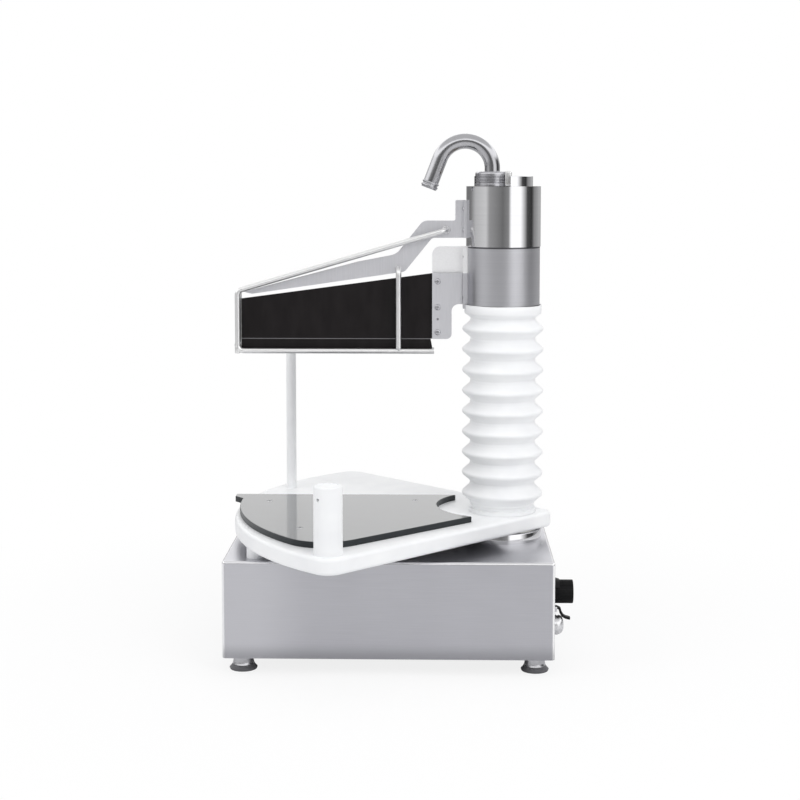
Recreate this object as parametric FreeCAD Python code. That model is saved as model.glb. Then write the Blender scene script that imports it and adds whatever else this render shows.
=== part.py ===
import FreeCAD, Part
import math
import os
from FreeCAD import Vector

# Counter-top cheese cutter with a swinging tray, in millimetres, +Z up, feet on z = 0.
# Pieces are worked out about the column's axis and moved along X when they are written,
# so that the origin lies under the middle of the whole machine.

os.makedirs("parts", exist_ok=True)

# Fits and running gaps
running_fit = 0.05      # radial clearance of bushes, pistons and pins that move
seat_fit = 0.05         # radial clearance of pieces that stay together
slide_gap = 0.3         # gap between faces that pass each other
thread_fit = 0.1        # radial clearance of a screw's shank in its hole

# Proportions of the screws' heads, in shares of the thread's diameter
sunk_head_radius = 0.95
hex_head_across = 1.6
hex_head_height = 0.65
bolt_head_radius = 0.85
bolt_head_height = 0.7
button_head_radius = 0.9
button_head_height = 0.5

# Base box in folded stainless sheet
base_length = 540.0
base_depth = 390.0
base_height = 160.0
base_sheet = 2.0
base_corner = 6.0
base_bend = 4.0
base_lip = 16.0
lip_round = 0.5
floor_sheet = 3.0
column_from_side = 78.6     # column axis to the base's right side
floor_screw_diameter = 5.0
floor_screw_from_end = 97.0
floor_screw_end = 3.0       # how far a floor screw passes the lip

# Levelling feet
foot_height = 28.0
foot_diameter = 46.0
foot_neck = 32.0
foot_taper = 0.8            # the neck widens by this before it flares
foot_flare_height = 12.9
foot_flare_middle = 8.4
foot_flare_swell = 2.3
foot_rim_height = 2.5
foot_rim_slope = 1.0
foot_stud = 12.0
foot_stud_end = 4.0         # stud above its lock nut
foot_inset_x = 30.0
foot_inset_y = 40.0
foot_nut_across = 19.0
foot_nut_height = 7.0

# Fixed column and its seats
column_diameter = 100.0
column_wall = 6.0
column_rise = 600.0         # tube's top above the deck
foot_flange_diameter = 160.0
foot_flange_thickness = 14.0
foot_socket_wall = 12.0
foot_socket_height = 40.0
foot_bolt_diameter = 8.0
foot_bolt_count = 4
hub_diameter = 122.0
hub_height = 16.5
hub_edge_round = 1.5
hub_screw_diameter = 5.0
hub_screw_count = 6
washer_thickness = 1.5
washer_inset = 1.5
stiffener_diameter = 190.0
stiffener_thickness = 6.0
cap_height = 22.0
cap_spigot = 14.0
cap_edge_round = 1.2

# Swinging tray
tray_radius = 460.0
tray_thickness = 27.0
tray_edge_offset = 65.0
tray_half_angle = 45.0
tray_apex_round = 20.0
tray_corner_round = 30.0
tray_edge_round = 6.0
tray_bush_wall = 6.0
tray_swing = 20.0
stop_pin_diameter = 8.0
stop_pin_radius = 78.0
stop_slot_depth = 9.0
stop_pin_headroom = 2.0
pad_diameter = 26.0
pad_gap = 0.3
pad_x = 411.0
pad_y = 163.0
pad_edge_round = 1.2
pad_screw_diameter = 6.0
pad_screw_sunk = 1.5
pad_screw_end = 4.0

# Cutting plate on the tray
plate_thickness = 10.0
plate_arc_radius = 443.0
plate_arc_x = 12.0
plate_arc_y = 29.0
plate_front_angle = 42.6
plate_front_offset = 35.5
plate_front_round = 70.0
plate_bay_radius = 113.0
plate_rear_y = 80.0
plate_ear_reach = 470.5
plate_ear_front = 61.0
plate_ear_root = 42.0
plate_edge_chamfer = 0.8
plate_screw_diameter = 5.0
plate_screw_length = 25.0
plate_screw_spots = [(-334.0, -190.0), (-405.0, 20.0), (-150.0, 30.0)]

# Handle post and rear rod, both standing on the tray
post_diameter = 45.0
post_height = 107.0
post_x = 279.0
post_y = 326.0
post_edge_round = 3.0
post_recess_diameter = 34.0
post_recess_depth = 1.5
post_bolt_diameter = 12.0
post_bolt_grip = 40.0
post_hole_diameter = 5.0
post_hole_drop = 20.0
set_screw_sunk = 3.5
rod_diameter = 18.0
rod_x = 382.0
rod_y = 187.0
rod_height = 295.0
rod_end_round = 1.5
rod_bolt_diameter = 8.0
rod_bolt_grip = 25.0
bolt_sunk = 1.0             # bolt heads below the tray's underside

# Bellows round the column
bellows_ring_diameter = 116.0
bellows_ring_height = 6.7
bellows_crest = 139.0
bellows_valley = 111.0
bellows_neck = 106.0
bellows_neck_height = 7.2
bellows_count = 9
bellows_valley_share = 0.05     # of a fold's pitch, from each end of it to its valley
bellows_crest_share = 0.42      # of a fold's pitch, from each end of it to its crest
bellows_shoulder = 2.0
bellows_wall = 2.0
bellows_cuff = 132.0
bellows_cuff_height = 14.7
bellows_top_neck = 9.0

# Blade sleeve, blade and its bracket
# Heights here are above the sleeve's lower edge, and drops below it
head_drop = 197.0           # sleeve's lower edge below the column's top
sleeve_diameter = 125.0
sleeve_length = 99.0
bush_wall = 5.0
bush_length = 30.0
wiper_height = 6.0
wiper_lip_width = 1.0
wiper_lip_height = 2.0
blade_end_gap = 0.6         # between the edge and the plate at the end of the stroke
blade_thickness = 2.0
blade_edge_width = 0.3
blade_edge_drop = 84.4
blade_bevel = 24.4
blade_tip = 449.8
blade_inner_top = 53.0
blade_outer_top = 9.0
blade_tang = 100.0
blade_heel_bottom = 119.5   # inner end of the bevel strip at the edge
blade_heel_top = 124.0      # and where the strip meets the clamp plate
blade_tang_rise = 2.0
blade_tang_drop = 4.0
bracket_reach = 121.5
bracket_lower_reach = 88.0
bracket_saddle_reach = 69.0
bracket_thickness = 5.0
bracket_drop = 60.0
bracket_round = 14.0
bracket_toe_round = 3.0
bracket_heel_round = 9.0
bracket_step_round = 12.0
clamp_top = 53.6
clamp_thickness = 4.0
saddle_width = 28.0
saddle_drop = 7.0
saddle_bite = 6.0           # blank of the saddle reaches this far into the sleeve before it is cut round
bracket_screw_diameter = 5.0
bracket_screw_head = 10.0
bracket_screw_head_height = 3.0
bracket_screw_round = 1.8
bracket_screw_radius = 112.0
bracket_screw_heights = [-48.3, -5.5, 39.0]
dowel_diameter = 4.0
dowel_drop = 26.0
dowel_sunk = 0.5
saddle_screw_diameter = 5.0
saddle_screw_length = 12.0
saddle_screw_spread = 10.0
saddle_screw_heights = [12.0, 82.0]

# Pneumatic lift inside the column
barrel_diameter = 60.0
barrel_bore = 50.0
barrel_cap_height = 15.0
piston_height = 20.0
piston_rod_diameter = 20.0
piston_rod_tail = 12.0
piston_rod_thread = 9.6
lift_end_gap = 1.0          # left over above the piston and under the crosshead at the ends of the stroke
crosshead_height = 24.0
crosshead_round = 2.0
crosshead_pin_diameter = 12.0
crosshead_pin_depth = 3.2
crosshead_pin_inner = 24.2

# Blade guard, its heights above the blade sleeve's lower edge
guard_gap = 0.5
guard_diameter = 127.0
guard_length = 102.0
guard_bush_length = 25.0
guard_bush_inset = 4.0
guard_sheet = 3.0
guard_arm_bottom = 113.5    # arm's lower edge at its sleeve
guard_arm_depth = 29.5
guard_arm_neck_round = 10.0
guard_arm_knee_x = 168.5
guard_arm_knee_drop = 58.0
guard_arm_knee_round = 12.0
guard_arm_shoulder_x = 137.0
guard_arm_shoulder_round = 16.0
guard_arm_crown_x = 183.0
guard_arm_crown_drop = 57.5
guard_arm_crown_round = 25.0
guard_arm_slope_x = 250.0
guard_arm_slope_drop = 70.5
guard_arm_tip_inset = 9.0
guard_arm_tip_drop = 2.5
guard_arm_end_inset = 24.0
guard_arm_end_drop = 6.0
guard_tab_reach = 82.0
guard_tab_height = 64.5
guard_tab_round = 2.0
guard_tab_root_round = 3.0
guard_foot_thickness = 4.0
guard_foot_width = 20.0
guard_rod_diameter = 9.0
guard_rod_plane = 13.0      # centre line of each rod frame from the blade's plane
guard_rail_inner = 118.0
guard_outer = 455.0
guard_outer_top = 23.0
guard_neck_x = 98.0
guard_neck_rise = 13.5      # rods' first bend above the arm's lower edge
guard_post_x = 179.0
guard_post_top = 61.0
guard_rod_bend = 10.0
guard_tie_out = 1.0
guard_foot_bite = 6.0
guard_screw_diameter = 4.0
guard_screw_length = 10.0
guard_screw_spread = 6.0
guard_screw_rises = [13.5, 49.5]

# Swan-neck lamp
lamp_x = 19.5
lamp_y = 5.0
lamp_socket_diameter = 58.0
lamp_socket_height = 25.0
lamp_socket_rise = 4.5      # socket's foot above the column's top
lamp_socket_floor = 4.0
lamp_socket_edge = 2.5
lamp_tube = 26.0
lamp_wall = 2.0
lamp_stem = 35.0            # centre of the bend above the column's top
lamp_bend = 46.0
lamp_turn = 159.0
lamp_leg = 54.0
lamp_collar_length = 12.0
lamp_collar_diameter = 29.0
lamp_groove_start = 3.0
lamp_groove_width = 3.0
lamp_groove_slope = 0.5
lamp_groove_depth = 1.0
lamp_lens_thickness = 3.0
lamp_lens_sunk = 2.0

# Controls on the base's right side
control_y = 115.0
knob_diameter = 39.0
knob_reach = 34.8
knob_gap = 2.5
knob_height = 121.0
knob_edge = 1.5
knob_face_wall = 7.0
knob_shaft = 6.0
knob_shaft_end = 8.0        # shaft's end behind the knob's face
bezel_diameter = 50.0
bezel_edge = 0.8
hood_reach = 12.0
hood_flare = 5.0
hood_bend = 2.0
hood_wall = 1.2
hood_sweep = 120.0
regulator_diameter = 42.0
regulator_length = 62.0
regulator_neck = 18.0
regulator_nose = 1.5
valve_height = 65.0
valve_diameter = 34.0
valve_reach = 19.6
valve_round = 12.0
valve_body_length = 45.0
valve_body_diameter = 28.0
lever_height = 92.0
lever_out = 5.5
lever_thickness = 4.5
lever_width = 12.0
lever_reach = 30.5
lever_drop = 16.5
lever_knee_out = 9.5
lever_knee_drop = 6.5
lever_knee_swell = 0.9
lever_eye_wall = 1.35
lever_pin_diameter = 3.0
lever_ear_width = 3.0
lever_ear_half = 4.0
lever_ear_nose = 3.0
lever_plate = 1.5
lever_plate_margin = 4.0

# Air inlet on the back
inlet_x = 40.0
inlet_height = 75.0
inlet_hex = 19.0
inlet_hex_length = 7.0
inlet_nipple = 10.0
inlet_nipple_length = 14.0
inlet_stem = 14.0
inlet_stem_length = 14.0

# Valve block on the floor inside
valve_block_from_end = 162.0
valve_block_length = 120.0
valve_block_depth = 60.0
valve_block_height = 45.0
valve_block_corner = 3.0
valve_port_diameter = 12.0
valve_port_depth = 15.0
valve_port_pitch = 35.0
valve_port_count = 3

# Levels and places that follow
deck = foot_height + base_height
floor_top = foot_height + floor_sheet
right_side = column_from_side
beyond_side = 2 * base_length   # far enough out for any cut
left_side = column_from_side - base_length
half_depth = base_depth / 2
column_radius = column_diameter / 2
column_inner = column_radius - column_wall
tray_bottom = deck + hub_height + washer_thickness
tray_top = tray_bottom + tray_thickness
plate_top = tray_top + plate_thickness
bellows_ring_bottom = tray_top + slide_gap
bellows_bottom = bellows_ring_bottom + bellows_ring_height
column_top = deck + column_rise
sleeve_bottom = column_top - head_drop
bellows_top = sleeve_bottom - slide_gap
sleeve_top = sleeve_bottom + sleeve_length
sleeve_radius = sleeve_diameter / 2
sleeve_bore = column_radius + bush_wall
guard_bottom = sleeve_top + guard_gap
guard_top = guard_bottom + guard_length
guard_radius = guard_diameter / 2
cap_top = column_top + cap_height
column_foot_top = floor_top + foot_flange_thickness
crosshead_middle = sleeve_bottom + sleeve_length / 2
crosshead_bottom = crosshead_middle - crosshead_height / 2
crosshead_top = crosshead_bottom + crosshead_height
blade_edge = sleeve_bottom - blade_edge_drop
blade_stroke = blade_edge - plate_top - blade_end_gap
barrel_top = crosshead_bottom - blade_stroke - lift_end_gap
piston_top = barrel_top - barrel_cap_height - lift_end_gap
socket_bottom = column_top + lamp_socket_rise
socket_top = socket_bottom + lamp_socket_height
same_place = 1e-4               # two points closer than this are one
# The origin lies halfway between the plate's ear and the knob's face
column_x = (plate_ear_reach - (right_side + knob_reach)) / 2


def cylinder(radius, bottom, top, x=0.0, y=0.0):
    return Part.makeCylinder(radius, top - bottom, Vector(x, y, bottom))


def ring(outer, inner, bottom, top, x=0.0, y=0.0):
    return cylinder(outer, bottom, top, x, y).cut(cylinder(inner, bottom, top, x, y))


def block(x0, x1, y0, y1, z0, z1):
    return Part.makeBox(x1 - x0, y1 - y0, z1 - z0, Vector(x0, y0, z0))


def bar_x(radius, x0, x1, y, z):
    """Round bar along X."""
    return Part.makeCylinder(radius, x1 - x0, Vector(x0, y, z), Vector(1, 0, 0))


def bar_y(radius, y0, y1, x, z):
    """Round bar along Y."""
    return Part.makeCylinder(radius, y1 - y0, Vector(x, y0, z), Vector(0, 1, 0))


def turned(profile, x=0.0, y=0.0, angle=360.0):
    """Solid turned about a vertical axis from (radius, height) corners."""
    points = [Vector(x + r, y, z) for r, z in profile]
    points.append(points[0])
    face = Part.Face(Part.makePolygon(points))
    return face.revolve(Vector(x, y, 0), Vector(0, 0, 1), angle)


def turned_x(profile, y, z, angle=360.0, start=Vector(0, 0, 1)):
    """Solid turned about an axis along X from (x, radius) corners."""
    points = [Vector(px, y, z) + start * r for px, r in profile]
    points.append(points[0])
    face = Part.Face(Part.makePolygon(points))
    return face.revolve(Vector(0, y, z), Vector(1, 0, 0), angle)


def hexagon(across, bottom, top, x=0.0, y=0.0):
    middle = Vector(x, y, bottom)
    corners = []
    for i in range(7):
        turn = math.radians(60 * i + 30)
        corners.append(middle + Vector(math.cos(turn), math.sin(turn), 0) * (across / math.sqrt(3)))
    return Part.Face(Part.makePolygon(corners)).extrude(Vector(0, 0, top - bottom))


def round_path(points, bends):
    """Edges of a path through points, with a tangent arc of its own radius at each inner one."""
    edges = []
    last = points[0]
    for i in range(1, len(points) - 1):
        corner = points[i]
        back = (points[i - 1] - corner).normalize()
        on = (points[i + 1] - corner).normalize()
        half = back.getAngle(on) / 2
        reach = bends[i - 1] / math.tan(half)
        middle = (back + on).normalize()
        start = corner + back * reach
        end = corner + on * reach
        crest = corner + middle * (bends[i - 1] / math.sin(half) - bends[i - 1])
        if (start - last).Length > same_place:
            edges.append(Part.LineSegment(last, start).toShape())
        edges.append(Part.Arc(start, crest, end).toShape())
        last = end
    edges.append(Part.LineSegment(last, points[-1]).toShape())
    return edges


def rod(points, radius, bends):
    """Round rod bent along a path."""
    path = Part.Wire(round_path(points, bends))
    along = (points[1] - points[0]).normalize()
    section = Part.Wire(Part.makeCircle(radius, points[0], along))
    return path.makePipeShell([section], True, True)


def plate_xz(corners, y0, y1):
    """Flat plate in the blade's plane from (x, height above the sleeve's edge, corner radius)."""
    count = len(corners)
    points = [Vector(x, y0, sleeve_bottom + h) for x, h, r in corners]
    edges = []
    ends = []
    for i in range(count):
        radius = corners[i][2]
        corner = points[i]
        back = (points[i - 1] - corner).normalize()
        on = (points[(i + 1) % count] - corner).normalize()
        if radius <= 0:
            ends.append((corner, corner, None))
            continue
        half = back.getAngle(on) / 2
        reach = radius / math.tan(half)
        crest = corner + (back + on).normalize() * (radius / math.sin(half) - radius)
        ends.append((corner + back * reach, corner + on * reach, crest))
    for i in range(count):
        start, end, crest = ends[i]
        if crest is not None:
            edges.append(Part.Arc(start, crest, end).toShape())
        following = ends[(i + 1) % count][0]
        edges.append(Part.LineSegment(end, following).toShape())
    return Part.Face(Part.Wire(edges)).extrude(Vector(0, y1 - y0, 0))


def upright_edges(shape, keep):
    """Vertical edges whose foot (x, y) passes a test."""
    found = []
    for edge in shape.Edges:
        if len(edge.Vertexes) != 2:
            continue
        a = edge.Vertexes[0].Point
        b = edge.Vertexes[1].Point
        if abs(a.x - b.x) < same_place and abs(a.y - b.y) < same_place and keep(a.x, a.y):
            found.append(edge)
    return found


def level_edges(shape, height):
    """Edges that lie at one height."""
    found = []
    for edge in shape.Edges:
        box = edge.BoundBox
        if abs(box.ZMin - height) < same_place and abs(box.ZMax - height) < same_place:
            found.append(edge)
    return found


def save(name, *solids):
    shape = solids[0] if len(solids) == 1 else Part.makeCompound(list(solids))
    shape = shape.copy()
    shape.translate(Vector(column_x, 0, 0))
    shape.exportStep("parts/" + name + ".step")


def countersunk(diameter, top, length, x, y):
    """Countersunk screw, head flush with its seat."""
    head = diameter * sunk_head_radius
    radius = diameter / 2
    end = top - length
    return turned([(0, top), (head, top), (radius, top - head + radius), (radius, end), (0, end)], x, y)


# Base box: folded housing, floor and feet
def base_box(grow, top, bottom, corner, bend):
    box = block(left_side - grow, right_side + grow, -half_depth - grow, half_depth + grow, bottom, top)
    box = box.makeFillet(corner, upright_edges(box, lambda x, y: True))
    return box.makeFillet(bend, level_edges(box, top))


foot_spots = []
for foot_x in (left_side + foot_inset_x, right_side - foot_inset_x):
    for foot_y in (-half_depth + foot_inset_y, half_depth - foot_inset_y):
        foot_spots.append((foot_x, foot_y))

floor_screw_inset = base_sheet + base_lip / 2
floor_screw_hole = floor_screw_diameter / 2 + thread_fit
floor_screw_spots = []
base_middle = (left_side + right_side) / 2
for x in (left_side + floor_screw_from_end, base_middle, right_side - floor_screw_from_end):
    for y in (floor_screw_inset - half_depth, half_depth - floor_screw_inset):
        floor_screw_spots.append((x, y))

hub_screw_radius = (column_radius + hub_diameter / 2) / 2
hub_screw_spots = []
for i in range(hub_screw_count):
    turn = math.radians(360 / hub_screw_count * (i + 0.5))
    hub_screw_spots.append((hub_screw_radius * math.cos(turn), hub_screw_radius * math.sin(turn)))

pad_spots = [(-pad_x, -pad_y), (-pad_x, pad_y)]

inner_corner = max(base_corner - base_sheet, lip_round)
inner_bend = max(base_bend - base_sheet, lip_round)
housing = base_box(0, deck, foot_height, base_corner, base_bend)
cavity = base_box(-base_sheet, deck - base_sheet, foot_height, inner_corner, inner_bend)
lips = base_box(-base_sheet, floor_top + base_sheet, floor_top, inner_corner, lip_round)
lips = lips.cut(block(left_side + base_sheet + base_lip, right_side - base_sheet - base_lip,
                      -half_depth + base_sheet + base_lip, half_depth - base_sheet - base_lip,
                      floor_top, floor_top + base_sheet))
housing = housing.cut(cavity).fuse(lips).removeSplitter()
housing = housing.cut(cylinder(column_radius + slide_gap, deck - base_sheet, deck))
for x, y in hub_screw_spots:
    housing = housing.cut(cylinder(hub_screw_diameter / 2 + thread_fit, deck - base_sheet, deck, x, y))
for x, y in pad_spots:
    housing = housing.cut(cylinder(pad_screw_diameter / 2 + thread_fit, deck - base_sheet, deck, x, y))
housing = housing.cut(cylinder(stop_pin_diameter / 2 + seat_fit, deck - base_sheet, deck, -stop_pin_radius))
for x, y in floor_screw_spots:
    housing = housing.cut(cylinder(floor_screw_hole, floor_top, floor_top + base_sheet, x, y))
panel = right_side - base_sheet     # inner face of the right side
housing = housing.cut(bar_x(regulator_neck / 2 + seat_fit, panel, right_side, -control_y, knob_height))
housing = housing.cut(bar_x(valve_body_diameter / 2 + seat_fit, panel, right_side, -control_y, valve_height))
back = half_depth - base_sheet      # inner face of the back
housing = housing.cut(bar_y(inlet_stem / 2 + seat_fit, back, half_depth, -inlet_x, inlet_height))
save("base_housing", housing)

floor_gap = base_sheet + slide_gap
floor_plate = block(left_side + floor_gap, right_side - floor_gap, -half_depth + floor_gap,
                    half_depth - floor_gap, foot_height, floor_top)
floor_plate = floor_plate.makeFillet(inner_corner, upright_edges(floor_plate, lambda x, y: True))
foot_bolt_radius = (foot_flange_diameter / 2 + column_radius + foot_socket_wall) / 2
foot_bolt_spots = []
for i in range(foot_bolt_count):
    turn = math.radians(360 / foot_bolt_count * (i + 0.5))
    foot_bolt_spots.append((foot_bolt_radius * math.cos(turn), foot_bolt_radius * math.sin(turn)))
for x, y in foot_spots:
    floor_plate = floor_plate.cut(cylinder(foot_stud / 2 + thread_fit, foot_height, floor_top, x, y))
floor_screw_seat = foot_height + floor_screw_diameter / 2
for x, y in floor_screw_spots:
    hole = turned([(0, foot_height), (floor_screw_diameter, foot_height),
                   (floor_screw_hole, floor_screw_seat), (floor_screw_hole, floor_top), (0, floor_top)], x, y)
    floor_plate = floor_plate.cut(hole)
for x, y in foot_bolt_spots:
    floor_plate = floor_plate.cut(cylinder(foot_bolt_diameter / 2 + thread_fit, foot_height, floor_top, x, y))
save("base_floor", floor_plate)

floor_screws = []
floor_screw_shank = floor_screw_diameter / 2
floor_screw_top = floor_top + base_sheet + floor_screw_end
for x, y in floor_screw_spots:
    floor_screws.append(turned([(0, foot_height), (floor_screw_diameter - thread_fit, foot_height),
                                (floor_screw_shank, floor_screw_seat), (floor_screw_shank, floor_screw_top),
                                (0, floor_screw_top)], x, y))
save("floor_screws", *floor_screws)


def levelling_foot(x, y):
    """Turned foot: a straight neck that flares into a bell, with its stud."""
    rim = Vector(x + foot_diameter / 2, y, foot_rim_height)
    neck = x + foot_neck / 2
    flare = Vector(neck + foot_taper, y, foot_flare_height)
    bell = Part.Arc(flare, Vector(neck + foot_flare_swell, y, foot_flare_middle), rim).toShape()
    corners = [rim, Vector(rim.x - foot_rim_slope, y, 0), Vector(x, y, 0), Vector(x, y, foot_height),
               Vector(neck, y, foot_height), flare]
    edges = [bell]
    for i in range(len(corners) - 1):
        edges.append(Part.LineSegment(corners[i], corners[i + 1]).toShape())
    body = Part.Face(Part.Wire(edges)).revolve(Vector(x, y, 0), Vector(0, 0, 1), 360)
    stud_top = floor_top + foot_nut_height + foot_stud_end
    stud = cylinder(foot_stud / 2, foot_flare_height, stud_top, x, y)
    return body.fuse(stud).removeSplitter()


feet = []
foot_nuts = []
foot_nut_top = floor_top + foot_nut_height
for x, y in foot_spots:
    feet.append(levelling_foot(x, y))
    nut = hexagon(foot_nut_across, floor_top, foot_nut_top, x, y)
    foot_nuts.append(nut.cut(cylinder(foot_stud / 2 + thread_fit, floor_top, foot_nut_top, x, y)))
save("adjustable_feet", *feet)
save("foot_lock_nuts", *foot_nuts)

# Column seat in the base
column_seat = cylinder(foot_flange_diameter / 2, floor_top, column_foot_top)
seat_ring = ring(column_radius + foot_socket_wall, column_radius + seat_fit, column_foot_top,
                 column_foot_top + foot_socket_height)
column_seat = column_seat.fuse(seat_ring).removeSplitter()
side_clear = panel - base_lip - slide_gap
column_seat = column_seat.cut(block(side_clear, beyond_side, -beyond_side, beyond_side, floor_top, deck))
foot_bolt_hole = foot_bolt_diameter / 2 + thread_fit
for x, y in foot_bolt_spots:
    column_seat = column_seat.cut(cylinder(foot_bolt_hole, floor_top, column_foot_top, x, y))
save("column_foot", column_seat)

foot_bolts = []
foot_bolt_across = foot_bolt_diameter * hex_head_across
foot_bolt_bottom = foot_height - foot_bolt_diameter * hex_head_height
for x, y in foot_bolt_spots:
    head = hexagon(foot_bolt_across, foot_bolt_bottom, foot_height, x, y)
    shank = cylinder(foot_bolt_diameter / 2, foot_height, column_foot_top, x, y)
    foot_bolts.append(head.fuse(shank).removeSplitter())
save("column_foot_bolts", *foot_bolts)

# Column tube, slotted on both sides for the crosshead's pins
slot_radius = crosshead_pin_diameter / 2 + slide_gap
slot_top = crosshead_middle
slot_bottom = crosshead_middle - blade_stroke
column = ring(column_radius, column_inner, column_foot_top, column_top)
slot = bar_x(slot_radius, -column_diameter, column_diameter, 0, slot_top)
slot = slot.fuse(bar_x(slot_radius, -column_diameter, column_diameter, 0, slot_bottom))
slot = slot.fuse(block(-column_diameter, column_diameter, -slot_radius, slot_radius, slot_bottom, slot_top))
column = column.cut(slot)
save("column_tube", column)

stiffener_bottom = deck - base_sheet - stiffener_thickness
stiffener = ring(stiffener_diameter / 2, column_radius + seat_fit, stiffener_bottom, deck - base_sheet)
stiffener_side = panel - inner_bend - slide_gap
stiffener = stiffener.cut(block(stiffener_side, beyond_side, -beyond_side, beyond_side, floor_top, deck))
stiffener = stiffener.cut(cylinder(stop_pin_diameter / 2 + seat_fit, 0, deck, -stop_pin_radius))
hub_top = deck + hub_height
hub = cylinder(hub_diameter / 2, deck, hub_top)
hub = hub.makeFillet(hub_edge_round, level_edges(hub, hub_top))
hub = hub.cut(cylinder(column_radius + seat_fit, deck, hub_top))
hub_screws = []
for x, y in hub_screw_spots:
    drill = cylinder(hub_screw_diameter / 2 + thread_fit, stiffener_bottom, hub_top, x, y)
    sink = countersunk(hub_screw_diameter + 2 * thread_fit, hub_top, hub_height, x, y)
    stiffener = stiffener.cut(drill)
    hub = hub.cut(drill).cut(sink)
    hub_screws.append(countersunk(hub_screw_diameter, hub_top, hub_top - stiffener_bottom, x, y))
save("deck_stiffener", stiffener)
save("column_flange", hub)
save("flange_screws", *hub_screws)
save("thrust_washer", ring(hub_diameter / 2 - washer_inset, column_radius + seat_fit, hub_top, tray_bottom))

stop_pin_top = tray_bottom + stop_slot_depth - stop_pin_headroom
save("tray_stop_pin", cylinder(stop_pin_diameter / 2, stiffener_bottom, stop_pin_top, -stop_pin_radius))

support_pads = []
pad_screws = []
pad_top = tray_bottom - pad_gap
sunk_top = pad_top - pad_screw_sunk
pad_screw_length = sunk_top - deck + base_sheet + pad_screw_end
for x, y in pad_spots:
    pad = cylinder(pad_diameter / 2, deck, pad_top, x, y)
    pad = pad.makeFillet(pad_edge_round, level_edges(pad, pad_top))
    well = cylinder(pad_screw_diameter + thread_fit, sunk_top, pad_top, x, y)
    sink = countersunk(pad_screw_diameter + 2 * thread_fit, sunk_top, sunk_top - deck, x, y)
    pad = pad.cut(well).cut(sink)
    support_pads.append(pad)
    pad_screws.append(countersunk(pad_screw_diameter, sunk_top, pad_screw_length, x, y))
save("support_pads", *support_pads)
save("pad_screws", *pad_screws)

# Swinging tray: a quarter disc about the column with square-set straight sides
half_angle = math.radians(tray_half_angle)
front_along = Vector(-math.cos(half_angle), -math.sin(half_angle), 0)
apex = tray_edge_offset / math.sin(half_angle)
far = 2 * tray_radius
tip = Vector(apex, 0, tray_bottom)
front_end = tip + front_along * far
rear_end = Vector(front_end.x, -front_end.y, tray_bottom)
wedge = Part.makePolygon([tip, front_end, Vector(-far * 2, 0, tray_bottom), rear_end, tip])
tray = Part.Face(wedge).extrude(Vector(0, 0, tray_thickness))
tray = tray.common(cylinder(tray_radius, tray_bottom, tray_top))
tray = tray.makeFillet(tray_apex_round, upright_edges(tray, lambda x, y: x > 0))
tray = tray.makeFillet(tray_corner_round, upright_edges(tray, lambda x, y: x < 0))
tray = tray.makeFillet(tray_edge_round, level_edges(tray, tray_top) + level_edges(tray, tray_bottom))
tray_bore = column_radius + tray_bush_wall + seat_fit
tray = tray.cut(cylinder(tray_bore, tray_bottom, tray_top))


def ring_sector(outer, inner, bottom, top, start, sweep):
    """Part of a ring between two angles in degrees."""
    sector = Part.makeCylinder(outer, top - bottom, Vector(0, 0, bottom), Vector(0, 0, 1), sweep)
    sector = sector.cut(cylinder(inner, bottom, top))
    sector.rotate(Vector(0, 0, 0), Vector(0, 0, 1), start)
    return sector


slot_half = stop_pin_diameter / 2 + slide_gap
stop_slot = ring_sector(stop_pin_radius + slot_half, stop_pin_radius - slot_half, tray_bottom,
                        tray_bottom + stop_slot_depth, 180 - tray_swing, 2 * tray_swing)
for side in (-1, 1):
    turn = math.radians(180 + side * tray_swing)
    stop_slot = stop_slot.fuse(cylinder(slot_half, tray_bottom, tray_bottom + stop_slot_depth,
                                        stop_pin_radius * math.cos(turn), stop_pin_radius * math.sin(turn)))
tray = tray.cut(stop_slot)

# Cutting plate: a larger arc than the tray leaves bare, with a bay round the column and a finger ear
plate = cylinder(plate_arc_radius, tray_top, plate_top, -plate_arc_x, plate_arc_y)
front_angle = math.radians(plate_front_angle)
edge_normal = Vector(math.sin(front_angle), -math.cos(front_angle), 0)
edge_along = Vector(-math.cos(front_angle), -math.sin(front_angle), 0)
edge_foot = edge_normal * plate_front_offset + Vector(0, 0, tray_top)
edge_start = edge_foot - edge_along * far
edge_end = edge_foot + edge_along * far
off_cut = [edge_start, edge_end, edge_end + edge_normal * far, edge_start + edge_normal * far, edge_start]
plate = plate.cut(Part.Face(Part.makePolygon(off_cut)).extrude(Vector(0, 0, plate_thickness)))
plate = plate.cut(block(-far, far, plate_rear_y, far, tray_top, plate_top))
plate_front_corner = upright_edges(plate, lambda x, y: x < -plate_bay_radius and y < 0)
plate = plate.makeFillet(plate_front_round, plate_front_corner)
plate = plate.cut(cylinder(plate_bay_radius, tray_top, plate_top))
plate = plate.cut(block(0, far, -far, far, tray_top, plate_top))
ear_root_x = plate_arc_x + math.sqrt(plate_arc_radius ** 2 - (plate_ear_root - plate_arc_y) ** 2)
ear = [Vector(-ear_root_x, plate_ear_root, tray_top), Vector(-plate_ear_reach, plate_ear_front, tray_top),
       Vector(-plate_ear_reach, plate_rear_y, tray_top), Vector(-plate_arc_radius, plate_rear_y, tray_top),
       Vector(-plate_arc_radius, plate_ear_root, tray_top), Vector(-ear_root_x, plate_ear_root, tray_top)]
plate = plate.fuse(Part.Face(Part.makePolygon(ear)).extrude(Vector(0, 0, plate_thickness))).removeSplitter()
plate = plate.makeChamfer(plate_edge_chamfer, level_edges(plate, plate_top))
plate_screws = []
for x, y in plate_screw_spots:
    sunk = plate_top - slide_gap
    sink = countersunk(plate_screw_diameter + 2 * thread_fit, sunk, plate_screw_length, x, y)
    sink = sink.fuse(cylinder(plate_screw_diameter, sunk, plate_top, x, y))
    plate = plate.cut(sink)
    tray = tray.cut(sink)
    plate_screws.append(countersunk(plate_screw_diameter, sunk, plate_screw_length, x, y))
save("cutting_plate", plate)
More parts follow.
